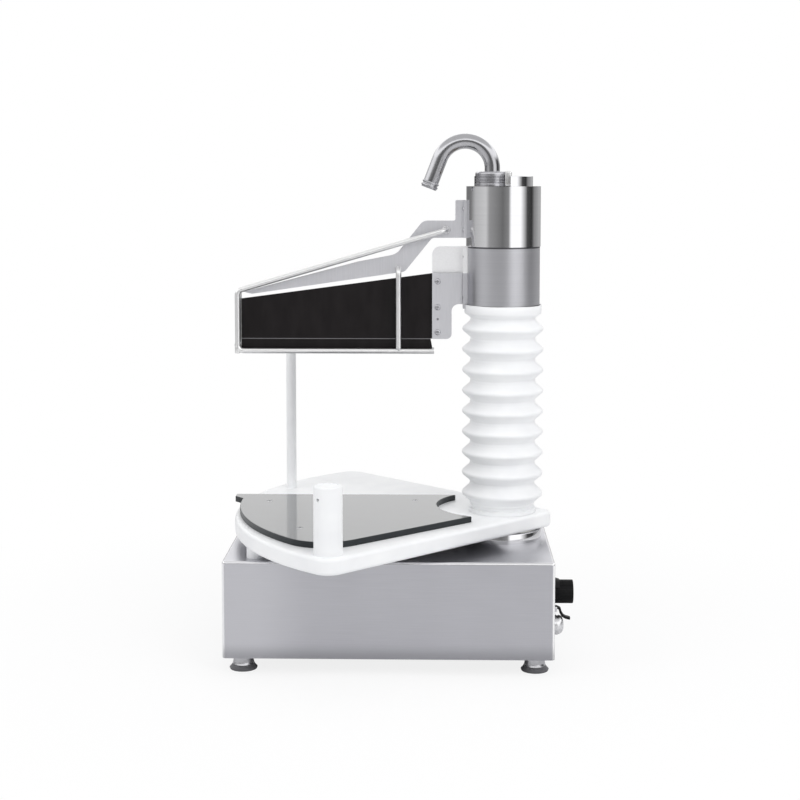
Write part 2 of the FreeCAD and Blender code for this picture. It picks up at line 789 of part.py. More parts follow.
save("plate_screws", *plate_screws)
save("tray_bush", ring(tray_bore - seat_fit, column_radius + running_fit, tray_bottom, tray_top))

# Handle post and rear rod with the bolts that hold them from below
post_top = tray_top + post_height
post = cylinder(post_diameter / 2, tray_top, post_top, -post_x, -post_y)
post = post.makeFillet(post_edge_round, level_edges(post, post_top))
post = post.cut(cylinder(post_recess_diameter / 2, post_top - post_recess_depth, post_top, -post_x, -post_y))
rear_rod_top = tray_top + rod_height
rear_rod = cylinder(rod_diameter / 2, tray_top, rear_rod_top, -rod_x, rod_y)
rear_rod = rear_rod.makeFillet(rod_end_round, level_edges(rear_rod, rear_rod_top))
tray_bolts = []
for x, y, size, grip in ((-post_x, -post_y, post_bolt_diameter, post_bolt_grip),
                         (-rod_x, rod_y, rod_bolt_diameter, rod_bolt_grip)):
    bolt_bottom = tray_bottom + bolt_sunk
    bolt_seat = bolt_bottom + size * bolt_head_height
    bolt_radius = size * bolt_head_radius
    bore = cylinder(size / 2 + thread_fit, tray_bottom, tray_top + grip, x, y)
    counterbore = cylinder(bolt_radius + slide_gap, tray_bottom, bolt_seat, x, y)
    tray = tray.cut(bore).cut(counterbore)
    post = post.cut(bore)
    rear_rod = rear_rod.cut(bore)
    bolt_head = cylinder(bolt_radius, bolt_bottom, bolt_seat, x, y)
    tray_bolts.append(bolt_head.fuse(cylinder(size / 2, bolt_seat, tray_top + grip, x, y)).removeSplitter())
# The post's set screw faces the front left, away from the column
set_out = Vector(-post_x, -post_y, 0).normalize()
set_height = post_top - post_hole_drop
set_start = Vector(-post_x, -post_y, set_height)
set_hole = Part.makeCylinder(post_hole_diameter / 2, post_diameter, set_start, set_out)
post = post.cut(set_hole)
set_screw_length = post_diameter / 2 - set_screw_sunk
set_screw = Part.makeCylinder(post_hole_diameter / 2 - thread_fit, set_screw_length, set_start, set_out)
save("swing_tray", tray)
save("handle_post", post)
save("rear_rod", rear_rod)
save("tray_bolts", *tray_bolts)
save("post_set_screw", set_screw)

# Bellows and its lower ring
bellows_ring_bore = column_radius + seat_fit
save("bellows_ring", ring(bellows_ring_diameter / 2, bellows_ring_bore, bellows_ring_bottom, bellows_bottom))


def bellows_body(inset):
    """Convoluted tube, a ruled loft through four circles for each convolution."""
    neck = bellows_neck / 2 - inset
    crest = bellows_crest / 2 - inset
    valley = bellows_valley / 2 - inset
    cuff = bellows_cuff / 2 - inset
    first = bellows_bottom + bellows_neck_height
    last = bellows_top - bellows_cuff_height - bellows_top_neck
    pitch = (last - first) / bellows_count
    to_valley = bellows_valley_share * pitch
    to_crest = bellows_crest_share * pitch
    stations = [(neck, bellows_bottom), (neck, first)]
    for i in range(bellows_count):
        low = first + i * pitch
        high = low + pitch
        stations += [(valley, low + to_valley), (crest, low + to_crest)]
        stations += [(crest, high - to_crest), (valley, high - to_valley)]
    stations += [(valley, last + bellows_shoulder), (cuff, last + bellows_top_neck), (cuff, bellows_top)]
    circles = [Part.Wire(Part.makeCircle(r, Vector(0, 0, z), Vector(0, 0, 1))) for r, z in stations]
    return Part.makeLoft(circles, True, True)


save("bellows", bellows_body(0.0).cut(bellows_body(bellows_wall)))

# Blade sleeve with its bushes and wiper
sleeve = ring(sleeve_radius, sleeve_bore, sleeve_bottom, sleeve_top)
saddle_holes = []
saddle_screws = []
saddle_face = -bracket_saddle_reach
saddle_shank = saddle_screw_diameter / 2
saddle_head = saddle_screw_diameter * sunk_head_radius
saddle_neck = saddle_face + saddle_head - saddle_shank
saddle_end = saddle_face + saddle_screw_length
saddle_profile = [(saddle_face, 0), (saddle_face, saddle_head), (saddle_neck, saddle_shank),
                  (saddle_end, saddle_shank), (saddle_end, 0)]
saddle_drill = [(x, radius + thread_fit) for x, radius in saddle_profile[1:4]]
saddle_drill = [(saddle_face, 0)] + saddle_drill + [(saddle_end, 0)]
for height in saddle_screw_heights:
    for y in (-saddle_screw_spread, saddle_screw_spread):
        saddle_screws.append(turned_x(saddle_profile, y, sleeve_bottom + height))
        saddle_holes.append(turned_x(saddle_drill, y, sleeve_bottom + height))
for hole in saddle_holes:
    sleeve = sleeve.cut(hole)
pin_end = sleeve_bore + crosshead_pin_depth
pin_radius = crosshead_pin_diameter / 2
sleeve = sleeve.cut(bar_x(pin_radius + seat_fit, -pin_end, pin_end, 0, crosshead_middle))
save("blade_sleeve", sleeve)
save("saddle_screws", *saddle_screws)
bush_outer = sleeve_bore - seat_fit
bush_inner = column_radius + running_fit
low_bush = sleeve_bottom + wiper_height
save("sleeve_bushes", ring(bush_outer, bush_inner, low_bush, low_bush + bush_length),
     ring(bush_outer, bush_inner, sleeve_top - bush_length, sleeve_top))
wiper_back = bush_inner + wiper_lip_width
wiper = turned([(bush_inner, sleeve_bottom), (bush_outer, sleeve_bottom), (bush_outer, low_bush),
                (wiper_back, low_bush), (wiper_back, sleeve_bottom + wiper_lip_height)])
save("sleeve_wiper", wiper)

# Bracket, clamp plate and blade share one outline and one row of screws
blade_half = blade_thickness / 2
rear_face = blade_half + bracket_thickness
front_face = blade_half + clamp_thickness
saddle_root = -sleeve_radius + saddle_bite
lower_outline = [(-bracket_reach, -bracket_drop, bracket_toe_round),
                 (-bracket_lower_reach, -bracket_drop, bracket_heel_round),
                 (-bracket_lower_reach, 0, bracket_step_round)]
upper_outline = [(saddle_root, 0, 0), (saddle_root, sleeve_length, 0),
                 (-bracket_reach, sleeve_length, bracket_round)]
bracket = plate_xz(upper_outline + lower_outline, blade_half, rear_face)
saddle = block(saddle_face, saddle_root, -saddle_width / 2, saddle_width / 2,
               sleeve_bottom - saddle_drop, sleeve_top)
saddle = saddle.cut(cylinder(bellows_cuff / 2 + slide_gap, deck, sleeve_bottom + slide_gap))
bracket = bracket.fuse(saddle).cut(cylinder(sleeve_radius + seat_fit, 0, cap_top)).removeSplitter()
for hole in saddle_holes:
    bracket = bracket.cut(hole)
clamp_side = saddle_face - slide_gap
clamp = plate_xz([(clamp_side, clamp_top, 0), (-bracket_reach, clamp_top, 0)] + lower_outline
                 + [(clamp_side, 0, 0)], -front_face, -blade_half)
blade_outline = [(-blade_tip, -blade_edge_drop, 0), (-blade_heel_bottom, -blade_edge_drop, 0),
                 (-blade_heel_top, -bracket_drop, 0), (-blade_tang, blade_tang_rise - bracket_drop, 0),
                 (-blade_tang, clamp_top - blade_tang_drop, 0), (-bracket_reach, blade_inner_top, 0),
                 (-blade_tip, blade_outer_top, 0)]
blade_blank = plate_xz(blade_outline, -blade_half, blade_half)
bevel_top = blade_edge + blade_bevel
edge_half = blade_edge_width / 2
section = [(-blade_half, cap_top), (blade_half, cap_top), (blade_half, bevel_top), (edge_half, blade_edge),
           (-edge_half, blade_edge), (-blade_half, bevel_top), (-blade_half, cap_top)]
ground = Part.makePolygon([Vector(-blade_tip, y, z) for y, z in section])
ground = Part.Face(ground).extrude(Vector(blade_tip, 0, 0))
blade = blade_blank.common(ground)
bracket_screws = []
for height in bracket_screw_heights:
    z = sleeve_bottom + height
    hole = bar_y(bracket_screw_diameter / 2 + thread_fit, -front_face, rear_face, -bracket_screw_radius, z)
    blade = blade.cut(hole)
    clamp = clamp.cut(hole)
    bracket = bracket.cut(hole)
    head_face = -front_face - bracket_screw_head_height
    head = bar_y(bracket_screw_head / 2, head_face, -front_face, -bracket_screw_radius, z)
    rim = [e for e in head.Edges if e.BoundBox.YMax < head_face + same_place]
    head = head.makeFillet(bracket_screw_round, rim)
    shank = bar_y(bracket_screw_diameter / 2, -front_face, rear_face, -bracket_screw_radius, z)
    bracket_screws.append(head.fuse(shank).removeSplitter())
dowel_z = sleeve_bottom - dowel_drop
dowel_hole = bar_y(dowel_diameter / 2 + thread_fit, -front_face, rear_face, -bracket_screw_radius, dowel_z)
blade = blade.cut(dowel_hole)
clamp = clamp.cut(dowel_hole)
bracket = bracket.cut(dowel_hole)
dowel_face = dowel_sunk - front_face
bracket_screws.append(bar_y(dowel_diameter / 2, dowel_face, rear_face, -bracket_screw_radius, dowel_z))
save("blade_bracket", bracket)
save("clamp_plate", clamp)
save("blade", blade)
save("bracket_screws", *bracket_screws)

# Lift cylinder inside the column, and the crosshead that carries the sleeve
barrel_bottom = column_foot_top + barrel_cap_height
barrel_end = barrel_top - barrel_cap_height
save("cylinder_barrel", ring(barrel_diameter / 2, barrel_bore / 2, barrel_bottom, barrel_end))
rod_radius = piston_rod_diameter / 2
top_cap = ring(barrel_diameter / 2, rod_radius + running_fit, barrel_end, barrel_top)
bottom_cap = cylinder(barrel_diameter / 2, column_foot_top, barrel_bottom)
save("cylinder_caps", bottom_cap, top_cap)
tail_radius = piston_rod_tail / 2
piston_bottom = piston_top - piston_height
save("piston", ring(barrel_bore / 2 - running_fit, tail_radius + seat_fit, piston_bottom, piston_top))
thread_top = crosshead_bottom + piston_rod_thread
piston_rod = cylinder(rod_radius, piston_top, crosshead_bottom)
piston_rod = piston_rod.fuse(cylinder(tail_radius, piston_bottom, thread_top)).removeSplitter()
save("piston_rod", piston_rod)
crosshead = cylinder(column_inner - slide_gap, crosshead_bottom, crosshead_top)
crosshead_rims = level_edges(crosshead, crosshead_bottom) + level_edges(crosshead, crosshead_top)
crosshead = crosshead.makeFillet(crosshead_round, crosshead_rims)
crosshead = crosshead.cut(cylinder(tail_radius + seat_fit, crosshead_bottom, thread_top))
pins = []
pin_face = pin_end - slide_gap
for low, high in ((-pin_face, -crosshead_pin_inner), (crosshead_pin_inner, pin_face)):
    pins.append(bar_x(pin_radius, low, high, 0, crosshead_middle))
    crosshead = crosshead.cut(bar_x(pin_radius + seat_fit, low, high, 0, crosshead_middle))
save("crosshead", crosshead)
save("crosshead_pins", *pins)

# Blade guard: polished sleeve, sheet arm and two bent rod frames
guard_sleeve = ring(guard_radius, sleeve_bore, guard_bottom, guard_top)
guard_arm_top = guard_arm_bottom + guard_arm_depth
guard_tab_top = guard_arm_bottom + guard_tab_height
guard_root = -guard_radius + guard_foot_bite
arm_lower_edge = [(guard_root, guard_arm_bottom, 0), (-bracket_reach, guard_arm_bottom, guard_arm_neck_round),
                  (-guard_arm_knee_x, guard_arm_bottom - guard_arm_knee_drop, guard_arm_knee_round),
                  (guard_arm_end_inset - guard_outer, guard_outer_top - guard_arm_end_drop, 0)]
arm_upper_edge = [(guard_arm_tip_inset - guard_outer, guard_outer_top - guard_arm_tip_drop, 0),
                  (-guard_arm_slope_x, guard_arm_top - guard_arm_slope_drop, 0),
                  (-guard_arm_crown_x, guard_arm_top - guard_arm_crown_drop, guard_arm_crown_round),
                  (-guard_arm_shoulder_x, guard_arm_top, guard_arm_shoulder_round)]
arm_tab = [(-guard_tab_reach, guard_arm_top, guard_tab_root_round),
           (-guard_tab_reach, guard_tab_top, guard_tab_round), (guard_root, guard_tab_top, 0)]
guard_arm = plate_xz(arm_lower_edge + arm_upper_edge + arm_tab, -guard_sheet / 2, guard_sheet / 2)
foot_outer = -guard_radius - guard_foot_thickness
guard_foot = block(foot_outer, guard_root, -guard_foot_width / 2, guard_foot_width / 2,
                   sleeve_bottom + guard_arm_bottom, sleeve_bottom + guard_tab_top)
guard_arm = guard_arm.fuse(guard_foot).cut(cylinder(guard_radius + seat_fit, 0, cap_top)).removeSplitter()
guard_screws = []
guard_screw_face = foot_outer - guard_screw_diameter * button_head_height
guard_screw_end = foot_outer + guard_screw_length
for rise in guard_screw_rises:
    for y in (-guard_screw_spread, guard_screw_spread):
        z = sleeve_bottom + guard_arm_bottom + rise
        hole = bar_x(guard_screw_diameter / 2 + thread_fit, foot_outer, guard_screw_end, y, z)
        guard_arm = guard_arm.cut(hole)
        guard_sleeve = guard_sleeve.cut(hole)
        head = bar_x(guard_screw_diameter * button_head_radius, guard_screw_face, foot_outer, y, z)
        shank = bar_x(guard_screw_diameter / 2, foot_outer, guard_screw_end, y, z)
        guard_screws.append(head.fuse(shank).removeSplitter())
save("guard_sleeve", guard_sleeve)
save("guard_arm", guard_arm)
save("guard_arm_screws", *guard_screws)
guard_bush_bottom = guard_bottom + guard_bush_inset
save("guard_bushes", ring(bush_outer, bush_inner, guard_bush_bottom, guard_bush_bottom + guard_bush_length),
     ring(bush_outer, bush_inner, guard_top - guard_bush_length, guard_top))

guard_rod_radius = guard_rod_diameter / 2
rail_z = blade_edge - slide_gap + guard_rod_radius


def guard_frame(side):
    """Bent rods of one side: neck, sloping rod, outer upright and rail, with an inner upright."""
    plane = side * guard_rod_plane
    root = side * guard_sheet / 2
    neck_z = sleeve_bottom + guard_arm_bottom + guard_neck_rise
    post_z = sleeve_bottom + guard_post_top
    loop = [Vector(-guard_neck_x, root, neck_z), Vector(-guard_neck_x, plane, neck_z),
            Vector(-guard_outer, plane, sleeve_bottom + guard_outer_top), Vector(-guard_outer, plane, rail_z),
            Vector(-guard_rail_inner, plane, rail_z)]
    frame = rod(loop, guard_rod_radius, [guard_rod_bend, guard_rod_bend, guard_rod_bend])
    upright = [Vector(-guard_post_x, plane, rail_z), Vector(-guard_post_x, plane, post_z),
               Vector(-guard_post_x, root, post_z)]
    return frame.fuse(rod(upright, guard_rod_radius, [guard_rod_bend])).removeSplitter()


front_rods = guard_frame(-1)
rear_rods = guard_frame(1)
tie_x = -guard_outer - guard_tie_out
tie = bar_y(guard_rod_radius, -guard_rod_plane, guard_rod_plane, tie_x, rail_z + guard_rod_bend)
front_rods = front_rods.fuse(tie.cut(rear_rods)).removeSplitter()
save("guard_front_rods", front_rods)
save("guard_rear_rods", rear_rods)

# Column cap with a pocket for the lamp's socket, and the swan neck
cap = cylinder(column_radius, column_top, cap_top)
cap = cap.makeFillet(cap_edge_round, level_edges(cap, cap_top))
cap = cap.fuse(cylinder(column_inner - seat_fit, column_top - cap_spigot, column_top)).removeSplitter()
socket_radius = lamp_socket_diameter / 2
pocket_radius = socket_radius + slide_gap
pocket = cylinder(pocket_radius, socket_bottom, cap_top, -lamp_x, -lamp_y)
pocket = pocket.fuse(block(-column_diameter, pocket_radius - lamp_x, -column_diameter, -lamp_y,
                           socket_bottom, cap_top))
cap = cap.cut(pocket)
neck_radius = lamp_tube / 2
neck_bottom = socket_bottom + lamp_socket_floor
neck_bore = cylinder(neck_radius + running_fit, neck_bottom, socket_top, -lamp_x, -lamp_y)
save("column_cap", cap)
lamp_socket = cylinder(socket_radius, socket_bottom, socket_top, -lamp_x, -lamp_y)
lamp_socket = lamp_socket.makeFillet(lamp_socket_edge, level_edges(lamp_socket, socket_top))
save("lamp_socket", lamp_socket.cut(neck_bore))

bend_centre = Vector(-lamp_x - lamp_bend, -lamp_y, column_top + lamp_stem)


def on_bend(angle):
    turn = math.radians(angle)
    return bend_centre + Vector(math.cos(turn), 0, math.sin(turn)) * lamp_bend


neck_start = Vector(-lamp_x, -lamp_y, neck_bottom)
leg_turn = math.radians(lamp_turn)
leg_along = Vector(-math.sin(leg_turn), 0, math.cos(leg_turn))
leg_start = on_bend(lamp_turn)
leg_end = leg_start + leg_along * (lamp_leg - lamp_collar_length)
neck_edges = [Part.LineSegment(neck_start, on_bend(0)).toShape(),
              Part.Arc(on_bend(0), on_bend(lamp_turn / 2), leg_start).toShape(),
              Part.LineSegment(leg_start, leg_end).toShape()]
neck_path = Part.Wire(neck_edges)


def neck_sweep(radius):
    section = Part.Wire(Part.makeCircle(radius, neck_start, Vector(0, 0, 1)))
    return neck_path.makePipeShell([section], True, True)


save("swan_neck", neck_sweep(neck_radius).cut(neck_sweep(neck_radius - lamp_wall)))


def along_leg(profile):
    """Piece turned about the swan neck's last leg from (radius, distance from the leg's end)."""
    shape = turned(profile)
    shape.Placement = FreeCAD.Placement(leg_end, FreeCAD.Rotation(Vector(0, 0, 1), leg_along))
    return shape


collar_radius = lamp_collar_diameter / 2
lens_radius = neck_radius - lamp_wall
groove_radius = collar_radius - lamp_groove_depth
groove_end = lamp_groove_start + lamp_groove_width
collar = [(lens_radius, 0), (collar_radius, 0), (collar_radius, lamp_groove_start),
          (groove_radius, lamp_groove_start + lamp_groove_slope),
          (groove_radius, groove_end - lamp_groove_slope), (collar_radius, groove_end),
          (collar_radius, lamp_collar_length - lamp_groove_depth),
          (groove_radius, lamp_collar_length), (lens_radius, lamp_collar_length)]
save("lamp_collar", along_leg(collar))
lens_face = lamp_collar_length - lamp_lens_sunk
lens_back = lens_face - lamp_lens_thickness
lens_edge = lens_radius - seat_fit
save("lamp_lens", along_leg([(0, lens_back), (lens_edge, lens_back), (lens_edge, lens_face), (0, lens_face)]))

# Pressure regulator with its knob and bezel
grip = knob_diameter / 2
knob_back = right_side + knob_gap
knob_face = right_side + knob_reach
neck_hole = regulator_neck / 2 + seat_fit
regulator = bar_x(regulator_diameter / 2, panel - regulator_length, panel, -control_y, knob_height)
nose = bar_x(regulator_neck / 2, panel, right_side + regulator_nose, -control_y, knob_height)
spindle = bar_x(knob_shaft / 2, right_side, knob_face - knob_shaft_end, -control_y, knob_height)
save("regulator_body", regulator.fuse(nose).fuse(spindle).removeSplitter())
bezel_outer = bezel_diameter / 2
bezel_face = knob_back - slide_gap
bezel_profile = [(right_side, neck_hole), (right_side, bezel_outer),
                 (right_side + bezel_edge, bezel_outer), (bezel_face, grip), (bezel_face, neck_hole)]
bezel_ring = turned_x(bezel_profile, -control_y, knob_height)
hood_foot = grip + slide_gap
hood_face = right_side + hood_reach
hood_profile = [(right_side, bezel_outer), (right_side, bezel_outer + hood_flare),
                (right_side + hood_bend, bezel_outer - hood_wall), (hood_face, hood_foot + hood_wall),
                (hood_face, hood_foot), (right_side + bezel_edge, hood_foot)]
hood_turn = math.radians(hood_sweep / 2)
hood_start = Vector(0, math.sin(hood_turn), math.cos(hood_turn))
hood = turned_x(hood_profile, -control_y, knob_height, hood_sweep, hood_start)
save("regulator_bezel", bezel_ring.fuse(hood).removeSplitter())
knob_bore = knob_shaft / 2 + running_fit
knob_bore_end = knob_face - knob_face_wall
knob = turned_x([(knob_back, knob_bore), (knob_back, grip), (knob_face - knob_edge, grip),
                 (knob_face, grip - knob_edge), (knob_face, 0), (knob_bore_end, 0),
                 (knob_bore_end, knob_bore)], -control_y, knob_height)
save("regulator_knob", knob)

# Hand valve: domed cap, body behind the sheet, and a cranked lever on a pin
valve_radius = valve_diameter / 2
valve_face = right_side + valve_reach
dome = bar_x(valve_radius, right_side, valve_face, -control_y, valve_height)
dome = dome.makeFillet(valve_round, [e for e in dome.Edges if e.BoundBox.XMin > valve_face - same_place])
valve_stem = bar_x(valve_body_diameter / 2, panel - valve_body_length, right_side, -control_y, valve_height)
save("valve_body", dome.fuse(valve_stem).removeSplitter())

lever_x = right_side + lever_out
lever_front = -control_y - lever_width / 2
lever_back = -control_y + lever_width / 2
ear_low = lever_height - lever_ear_half
ear_high = lever_height + lever_ear_half
ear_nose = lever_x + lever_ear_nose
pin_low = lever_front - slide_gap - lever_ear_width
pin_high = lever_back + slide_gap + lever_ear_width
lever_bracket = block(right_side, right_side + lever_plate, lever_front - lever_plate_margin,
                      lever_back + lever_plate_margin, ear_low, ear_high)
for low, high in ((pin_low, lever_front - slide_gap), (lever_back + slide_gap, pin_high)):
    lever_bracket = lever_bracket.fuse(block(right_side, ear_nose, low, high, ear_low, ear_high))
pin_hole = bar_y(lever_pin_diameter / 2 + seat_fit, pin_low, pin_high, lever_x, lever_height)
lever_bracket = lever_bracket.removeSplitter().cut(pin_hole)
save("lever_bracket", lever_bracket)
save("lever_pin", bar_y(lever_pin_diameter / 2, pin_low, pin_high, lever_x, lever_height))
half_lever = lever_thickness / 2
knee_x = right_side + lever_knee_out
knee_z = lever_height - lever_knee_drop
tip_x = right_side + lever_reach
tip_z = lever_height - lever_drop
lever_side = [(lever_x - half_lever, lever_height), (knee_x - half_lever, knee_z - half_lever),
              (tip_x, tip_z - half_lever), (tip_x, tip_z + half_lever),
              (knee_x + half_lever, knee_z + lever_knee_swell), (lever_x + half_lever, lever_height),
              (lever_x - half_lever, lever_height)]
lever_face = Part.Face(Part.makePolygon([Vector(x, lever_front, z) for x, z in lever_side]))
lever = lever_face.extrude(Vector(0, lever_width, 0))
lever_eye = bar_y(lever_pin_diameter / 2 + lever_eye_wall, lever_front, lever_back, lever_x, lever_height)
lever = lever.fuse(lever_eye).removeSplitter()
lever = lever.cut(bar_y(lever_pin_diameter / 2 + running_fit, pin_low, pin_high, lever_x, lever_height))
save("valve_lever", lever)

# Air inlet on the back and the valve block on the floor
inlet_radius = inlet_nipple / 2
hexed = hexagon(inlet_hex, 0, inlet_hex_length)
hexed.Placement = FreeCAD.Placement(Vector(-inlet_x, half_depth, inlet_height),
                                    FreeCAD.Rotation(Vector(0, 0, 1), Vector(0, 1, 0)))
nipple_start = half_depth + inlet_hex_length
nipple = bar_y(inlet_radius, nipple_start, nipple_start + inlet_nipple_length, -inlet_x, inlet_height)
stem = bar_y(inlet_stem / 2, half_depth - inlet_stem_length, half_depth, -inlet_x, inlet_height)
save("air_inlet", hexed.fuse(nipple).fuse(stem).removeSplitter())
block_x = left_side + valve_block_from_end
block_top = floor_top + valve_block_height
valve_block = block(block_x - valve_block_length / 2, block_x + valve_block_length / 2,
                    -valve_block_depth / 2, valve_block_depth / 2, floor_top, block_top)
valve_block = valve_block.makeFillet(valve_block_corner, upright_edges(valve_block, lambda x, y: True))
for i in range(valve_port_count):
    port_x = block_x + valve_port_pitch * (i - (valve_port_count - 1) / 2)
    port = cylinder(valve_port_diameter / 2, block_top - valve_port_depth, block_top, port_x)
    valve_block = valve_block.cut(port)
save("valve_block", valve_block)
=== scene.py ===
# %% [markdown]
# A counter-top cheese cutter in stainless steel and white polyethylene.
# The metal and plastic pieces come measured from the engineering model. This notebook gives
# each of them its real finish, and models what a plain solid can't show: the rubber
# bellows, the screws' sockets, the welds, the fluted knob, the pressed lever, the lamp's turned
# fittings and the hose tail at the back.

# %% Load the measured model
import math
from collections import namedtuple

import bpy
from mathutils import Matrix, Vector


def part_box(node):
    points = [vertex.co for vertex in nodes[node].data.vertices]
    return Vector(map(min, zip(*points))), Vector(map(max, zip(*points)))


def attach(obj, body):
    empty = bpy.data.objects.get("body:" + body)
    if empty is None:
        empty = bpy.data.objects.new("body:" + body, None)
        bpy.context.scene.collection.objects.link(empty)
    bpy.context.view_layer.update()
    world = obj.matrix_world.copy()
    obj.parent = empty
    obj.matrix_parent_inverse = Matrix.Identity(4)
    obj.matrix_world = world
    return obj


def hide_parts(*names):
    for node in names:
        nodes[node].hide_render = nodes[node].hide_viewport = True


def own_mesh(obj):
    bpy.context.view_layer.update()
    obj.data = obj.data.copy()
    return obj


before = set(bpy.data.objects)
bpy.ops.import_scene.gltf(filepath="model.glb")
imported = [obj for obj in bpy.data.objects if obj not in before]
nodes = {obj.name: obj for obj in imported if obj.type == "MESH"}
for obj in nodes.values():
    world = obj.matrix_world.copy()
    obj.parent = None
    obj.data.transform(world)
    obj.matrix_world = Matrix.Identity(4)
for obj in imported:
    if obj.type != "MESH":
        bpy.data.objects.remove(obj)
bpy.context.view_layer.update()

# %% [markdown]
# Blender works in metres, and a workshop in millimetres, so sizes are written in mm and
# multiplied by mm where Blender gets them. A piece modelled here takes its place from the
# measured one's box, rounded to a hundredth as on a drawing. Most of them stand on the column.

# %% Places from the model
mm = 0.001
Corner = namedtuple("Corner", "x y z")


def box_mm(node):
    """A node's lowest and highest corners in mm."""
    return [Corner(*(round(c / mm, 2) for c in corner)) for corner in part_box(node)]


def middle(low, high):
    """Half way between two places in mm."""
    return round((low + high) / 2, 2)


column_low, column_high = box_mm("column_tube")
column_x = middle(column_low.x, column_high.x)
column_radius = round((column_high.x - column_low.x) / 2, 2)
print("column axis at x", column_x, "radius", column_radius)

# %% [markdown]
# Colours are written as people read them, in sRGB hex, and Blender mixes light in linear
# values, so one function turns the first into the second.
# A material is a small tree of nodes. One helper adds a node, sets it and links it, which
# keeps every finish readable as a recipe.

# %% Helpers for colours and nodes
def linear(code):
    """A colour such as "#A9A9AD" in linear values."""
    parts = [int(code[i:i + 2], 16) / 255 for i in (1, 3, 5)]
    return [p / 12.92 if p <= 0.04045 else ((p + 0.055) / 1.055) ** 2.4 for p in parts] + [1.0]


def add(tree, kind, sockets=None, stops=(), **properties):
    """Adds a node, sets its properties and its sockets, and links the sockets given as outputs."""
    made = tree.nodes.new(kind)
    for name, value in properties.items():
        setattr(made, name, value)
    for name, value in (sockets or {}).items():
        if isinstance(value, bpy.types.NodeSocket):
            tree.links.new(value, made.inputs[name])
        else:
            made.inputs[name].default_value = value
    for i, (place, code) in enumerate(stops):
        steps = made.color_ramp.elements
        step = steps[i] if i < 2 else steps.new(place)
        step.position = place
        step.color = linear(code)
    return made


# %% [markdown]
# Every finish starts with a surface shader and the piece's own coordinates, so that its pattern
# moves along with the piece. No real surface is quite even, so most finishes then take a
# noise, whose lumps are given in mm along the three axes.

# %% Helpers for materials
def start_material(name, **surface):
    """A material with its surface shader, and the piece's own coordinates in metres."""
    material = bpy.data.materials.new(name)
    material.use_nodes = True
    tree = material.node_tree
    tree.nodes.clear()
    shader = add(tree, "ShaderNodeBsdfPrincipled", surface)
    add(tree, "ShaderNodeOutputMaterial", {"Surface": shader.outputs["BSDF"]})
    place = add(tree, "ShaderNodeTexCoord").outputs["Object"]
    print("finish:", name)
    return material, tree, shader, place


def speckle(tree, place, sizes, detail=3.0):
    """Noise with lumps of the given sizes in mm along X, Y and Z."""
    scaled = add(tree, "ShaderNodeMapping", {"Vector": place, "Scale": [1 / (s * mm) for s in sizes]})
    return add(tree, "ShaderNodeTexNoise",
               {"Vector": scaled.outputs["Vector"], "Scale": 1.0, "Detail": detail}).outputs["Fac"]


# %% [markdown]
# Stainless steel looks different for each way it was worked. Sheet is brushed along its
# length, so the lines run one way and smear the reflections. Turned pieces carry fine rings
# from the lathe. Tube is polished until it mirrors the room. All are the same metal, so one
# function makes them from the direction of the lines, their tone and how smooth they are.
# Real brush lines are 0.1 to 0.3 mm apart; they are drawn about 1 mm apart, to show at all.

# %% Stainless steel
def stainless(name, dark, light, line_sizes, smooth, rough, depth=0.01):
    """Steel with lines of the given sizes in mm, between two tones and two roughnesses."""
    material, tree, shader, place = start_material(name, Metallic=1.0)
    lines = speckle(tree, place, line_sizes)
    clouds = speckle(tree, place, (70, 70, 70), 2.0)
    tone = add(tree, "ShaderNodeValToRGB", {"Fac": lines}, [(0.3, dark), (0.7, light)])
    gloss = add(tree, "ShaderNodeMapRange", {"Value": clouds, "From Min": 0.3, "From Max": 0.7,
                                             "To Min": smooth, "To Max": rough})
    relief = add(tree, "ShaderNodeBump", {"Height": lines, "Strength": 0.5, "Distance": depth * mm})
    tree.links.new(tone.outputs["Color"], shader.inputs["Base Color"])
    tree.links.new(gloss.outputs["Result"], shader.inputs["Roughness"])
    tree.links.new(relief.outputs["Normal"], shader.inputs["Normal"])
    return material


along_x, along_z = (60, 1.1, 1.1), (1.1, 1.1, 40)
rings = (400, 400, 0.9)
fine, even, smoothed = (2.0, 2.0, 2.0), (9, 9, 9), (30, 30, 30)
brushed_sheet = stainless("brushed_stainless_sheet", "#B2B2B7", "#B6B6BB", along_x, 0.28, 0.34, 0.005)
satin_plate = stainless("satin_stainless_plate", "#D0D0D4", "#D6D6DA", along_z, 0.46, 0.52, 0.004)
blasted_bracket = stainless("bead_blasted_stainless", "#EEEEEF", "#F2F2F3", fine, 0.58, 0.62, 0.004)
turned_satin = stainless("turned_satin_stainless", "#BCBCC0", "#C3C3C7", rings, 0.35, 0.38, 0.0012)
sleeve_satin = stainless("satin_stainless_sleeve", "#BCBCC0", "#C3C3C7", rings, 0.35, 0.38, 0.0012)
turned_bright = stainless("turned_polished_stainless", "#D4D4D6", "#DADADC", rings, 0.07, 0.11, 0.0012)
machined_grip = stainless("machined_grip_stainless", "#AEAEB2", "#BABABE", rings, 0.26, 0.32, 0.004)
bright_tube = stainless("polished_stainless_tube", "#A8A8AB", "#B2B2B5", smoothed, 0.15, 0.20, 0.0)
bent_rod = stainless("satin_stainless_rod", "#E2E2E2", "#E8E8E8", even, 0.34, 0.38, 0.0)
cast_chrome = stainless("chromed_brass", "#D2D2D4", "#DCDCDE", even, 0.30, 0.34, 0.003)
weld_metal = stainless("brushed_weld_metal", "#BEBEC0", "#D6D6D8", fine, 0.34, 0.44, 0.03)
screw_steel = stainless("stainless_screws", "#B2B2B6", "#BEBEC2", fine, 0.22, 0.30)
